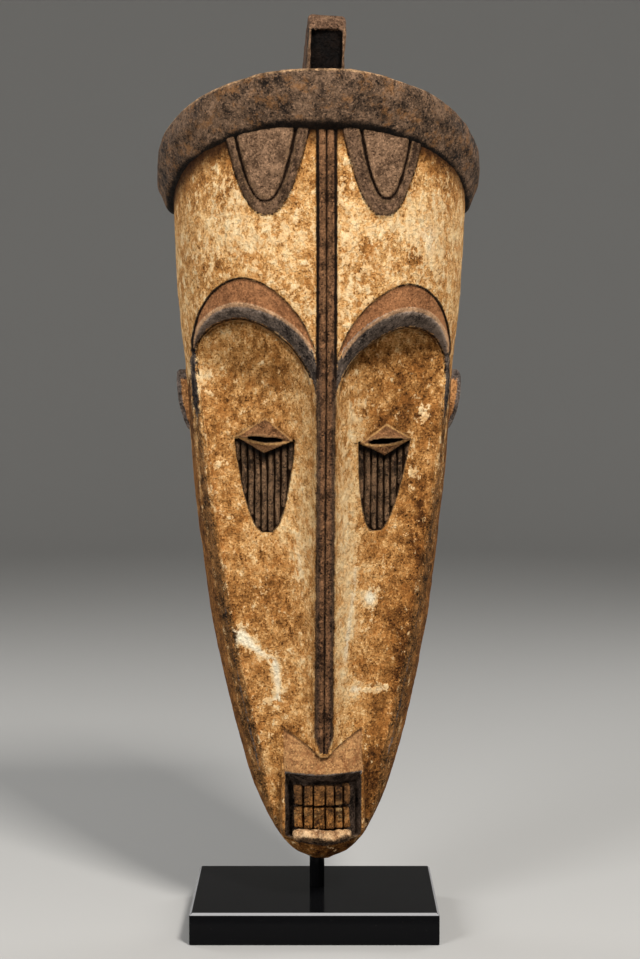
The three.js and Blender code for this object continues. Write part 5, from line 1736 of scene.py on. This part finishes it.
# %% Roll the lower lip
LOWER_LIP_FROM, LOWER_LIP_TO, LOWER_LIP_Z = -25.5, 23.0, 82.0
LOWER_LIP_HALF_HEIGHT, LOWER_LIP_HALF_DEPTH, LOWER_LIP_BEHIND = 5.2, 5.4, 5.0
LOWER_LIP_END, LOWER_LIP_BLUNT = 0.06, 0.03
UNDERSIDE_DROP, UNDERSIDE_WANDERS, UNDERSIDE_SIZE = 1.2, 3, 9


def lower_lip_piece():
    """A roll that follows the lip's curve, rounded off at both ends."""
    x = np.linspace(LOWER_LIP_FROM, LOWER_LIP_TO, 90)[:, None]
    along = (x - LOWER_LIP_FROM) / (LOWER_LIP_TO - LOWER_LIP_FROM)
    size = np.clip(np.minimum(along, 1 - along) / LOWER_LIP_END, 0, 1)
    size = np.sqrt(1 - (1 - size) ** 2) * (1 - LOWER_LIP_BLUNT) + LOWER_LIP_BLUNT
    angle = np.linspace(0, 2 * math.pi, 41)[None, :-1]
    y = lip_y(x) + LOWER_LIP_BEHIND + LOWER_LIP_HALF_DEPTH * size * np.cos(angle)
    z = LOWER_LIP_Z + LOWER_LIP_HALF_HEIGHT * size * np.sin(angle)
    points = np.stack([x + 0 * y, y, z], axis=-1)
    wander = UNDERSIDE_WANDERS * lattice_noise(points, UNDERSIDE_SIZE, 72)
    under = LOWER_LIP_Z - UNDERSIDE_DROP + wander - z
    piece = loft("lower_lip", to_room(points), {"under": under})
    hand_carved(piece, [(8, 1.5), (3.2, 0.8)], 71)
    return piece


lower_lip = lower_lip_piece()
print("lower lip:", triangle_count(lower_lip), "triangles")

# %% [markdown]
# ## The stand
# A round steel rod rises from a heavy plate into the hollow and carries a short cross bar under the crown.
# Plate and rod are enamelled gloss black, and the plate's upper edge has a fine polished bevel, whose paler
# grey is a painted highlight. These are machined shapes, so they are lofted straight from their sizes with
# only their edges eased.

# %% The rod, its bar and the plate
POST_X, POST_Y, POST_RADIUS, BAR_RADIUS, BAR_HALF = -2.0, -5.0, 6.2, 5.0, 46.0
PLATE_X, PLATE_Y, PLATE_HEIGHT, PLATE_BEVEL, PLATE_CORNER = 100.0, 80.0, 26.0, 1.8, 1.2
GAP = 0.3


def round_bar(name, stations, place):
    """A turned bar through (distance along, radius) stations."""
    angle = np.linspace(0, 2 * math.pi, 65)[None, :-1]
    along, radius = np.array(stations, float).T[:, :, None]
    rings = place(along + 0 * angle, radius * np.cos(angle), radius * np.sin(angle))
    return loft(name, to_room(np.stack(rings, axis=-1)))


def sharp_shading(item, degrees):
    item.data.set_sharp_from_angle(angle=math.radians(degrees))
    return item


BAR_Z = HOLLOW_TOP - float(fall(np.array(POST_Y))) - BAR_RADIUS * math.hypot(1, CROWN_SLOPE) - GAP
rod = round_bar("rod", [(PLATE_HEIGHT + GAP, POST_RADIUS), (BAR_Z, POST_RADIUS)],
                lambda along, a, b: (POST_X + a, POST_Y + b, along))
cross_bar = round_bar("cross_bar", [(-BAR_HALF, BAR_RADIUS - 1.4), (-BAR_HALF + 0.4, BAR_RADIUS - 0.6),
                                    (-BAR_HALF + 1.4, BAR_RADIUS), (BAR_HALF - 1.4, BAR_RADIUS),
                                    (BAR_HALF - 0.4, BAR_RADIUS - 0.6), (BAR_HALF, BAR_RADIUS - 1.4)],
                      lambda along, a, b: (POST_X + along, POST_Y + a, BAR_Z + b))
for item in (rod, cross_bar):
    sharp_shading(item, 50)


def plate_piece():
    """Rounded rectangles one over another, with eased edges and a bevel round the top."""
    turn = np.linspace(0, math.pi / 2, 7)
    rings = []
    # Each step's height and how far it lies in from the plate's side, up to the flat top inside the bevel.
    levels_and_insets = [(0, 2.0), (0, 0.6), (0.6, 0), (PLATE_HEIGHT - PLATE_BEVEL - 0.25, 0),
                         (PLATE_HEIGHT - PLATE_BEVEL + 0.1, 0.12), (PLATE_HEIGHT - 0.12, PLATE_BEVEL - 0.1),
                         (PLATE_HEIGHT, PLATE_BEVEL + 0.25), (PLATE_HEIGHT, PLATE_BEVEL + 1.5)]
    for z, inset in levels_and_insets:
        ring = []
        for quarter in range(4):
            a = turn + quarter * math.pi / 2
            flip_x, flip_y = (1, -1, -1, 1)[quarter], (1, 1, -1, -1)[quarter]
            x = flip_x * (PLATE_X - inset - PLATE_CORNER) + PLATE_CORNER * np.cos(a)
            y = flip_y * (PLATE_Y - inset - PLATE_CORNER) + PLATE_CORNER * np.sin(a)
            ring.extend(zip(x, y, np.full(len(a), z)))
        rings.append(ring)
    rings = np.array(rings)
    out = np.maximum(np.abs(rings[..., 0]) - PLATE_X, np.abs(rings[..., 1]) - PLATE_Y)
    # The bevel round the top gets a painted highlight.
    bevel_highlight = (rings[..., 2] > PLATE_HEIGHT - PLATE_BEVEL - 0.1) & (out > -PLATE_BEVEL)
    return sharp_shading(loft("plate", rings * MM, {"bevel_highlight": 1.0 * bevel_highlight}), 25)


plate = plate_piece()
print("stand:", [triangle_count(item) for item in (rod, cross_bar, plate)], "triangles")

# %% [markdown]
# ## Dress the frame
# Every piece rides on the one body of the frame, takes its finish, and stands in for the imported solid that
# it covers. The table names the record's slot for each finish, but nothing reads it.

# %% Finishes and places
FINISHES = [
    ([head], FACE_PAINT, "carved_wood", "mask"), ([brim], BRIM_WOOD, "carved_wood", "mask"),
    ([crest], CREST_WOOD, "carved_wood", "mask"), (ears, EAR_WOOD, "carved_wood", "mask"),
    (ribs, RIB_WOOD, "carved_wood", "mask"), ([teeth], TOOTH_WOOD, "carved_wood", "mask"),
    ([lower_lip], LIP_WOOD, "carved_wood", "mask"), ([rod, cross_bar], STEEL, "black_metal", "post"),
    ([plate], STEEL, "black_metal", "base_plate"),
]
for pieces, material, slot_name, node in FINISHES:
    for piece in pieces:
        piece.data.materials.clear()
        piece.data.materials.append(material)
        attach(piece, "root")
        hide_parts(node)
print("pieces:", sum(len(pieces) for pieces, *_ in FINISHES))
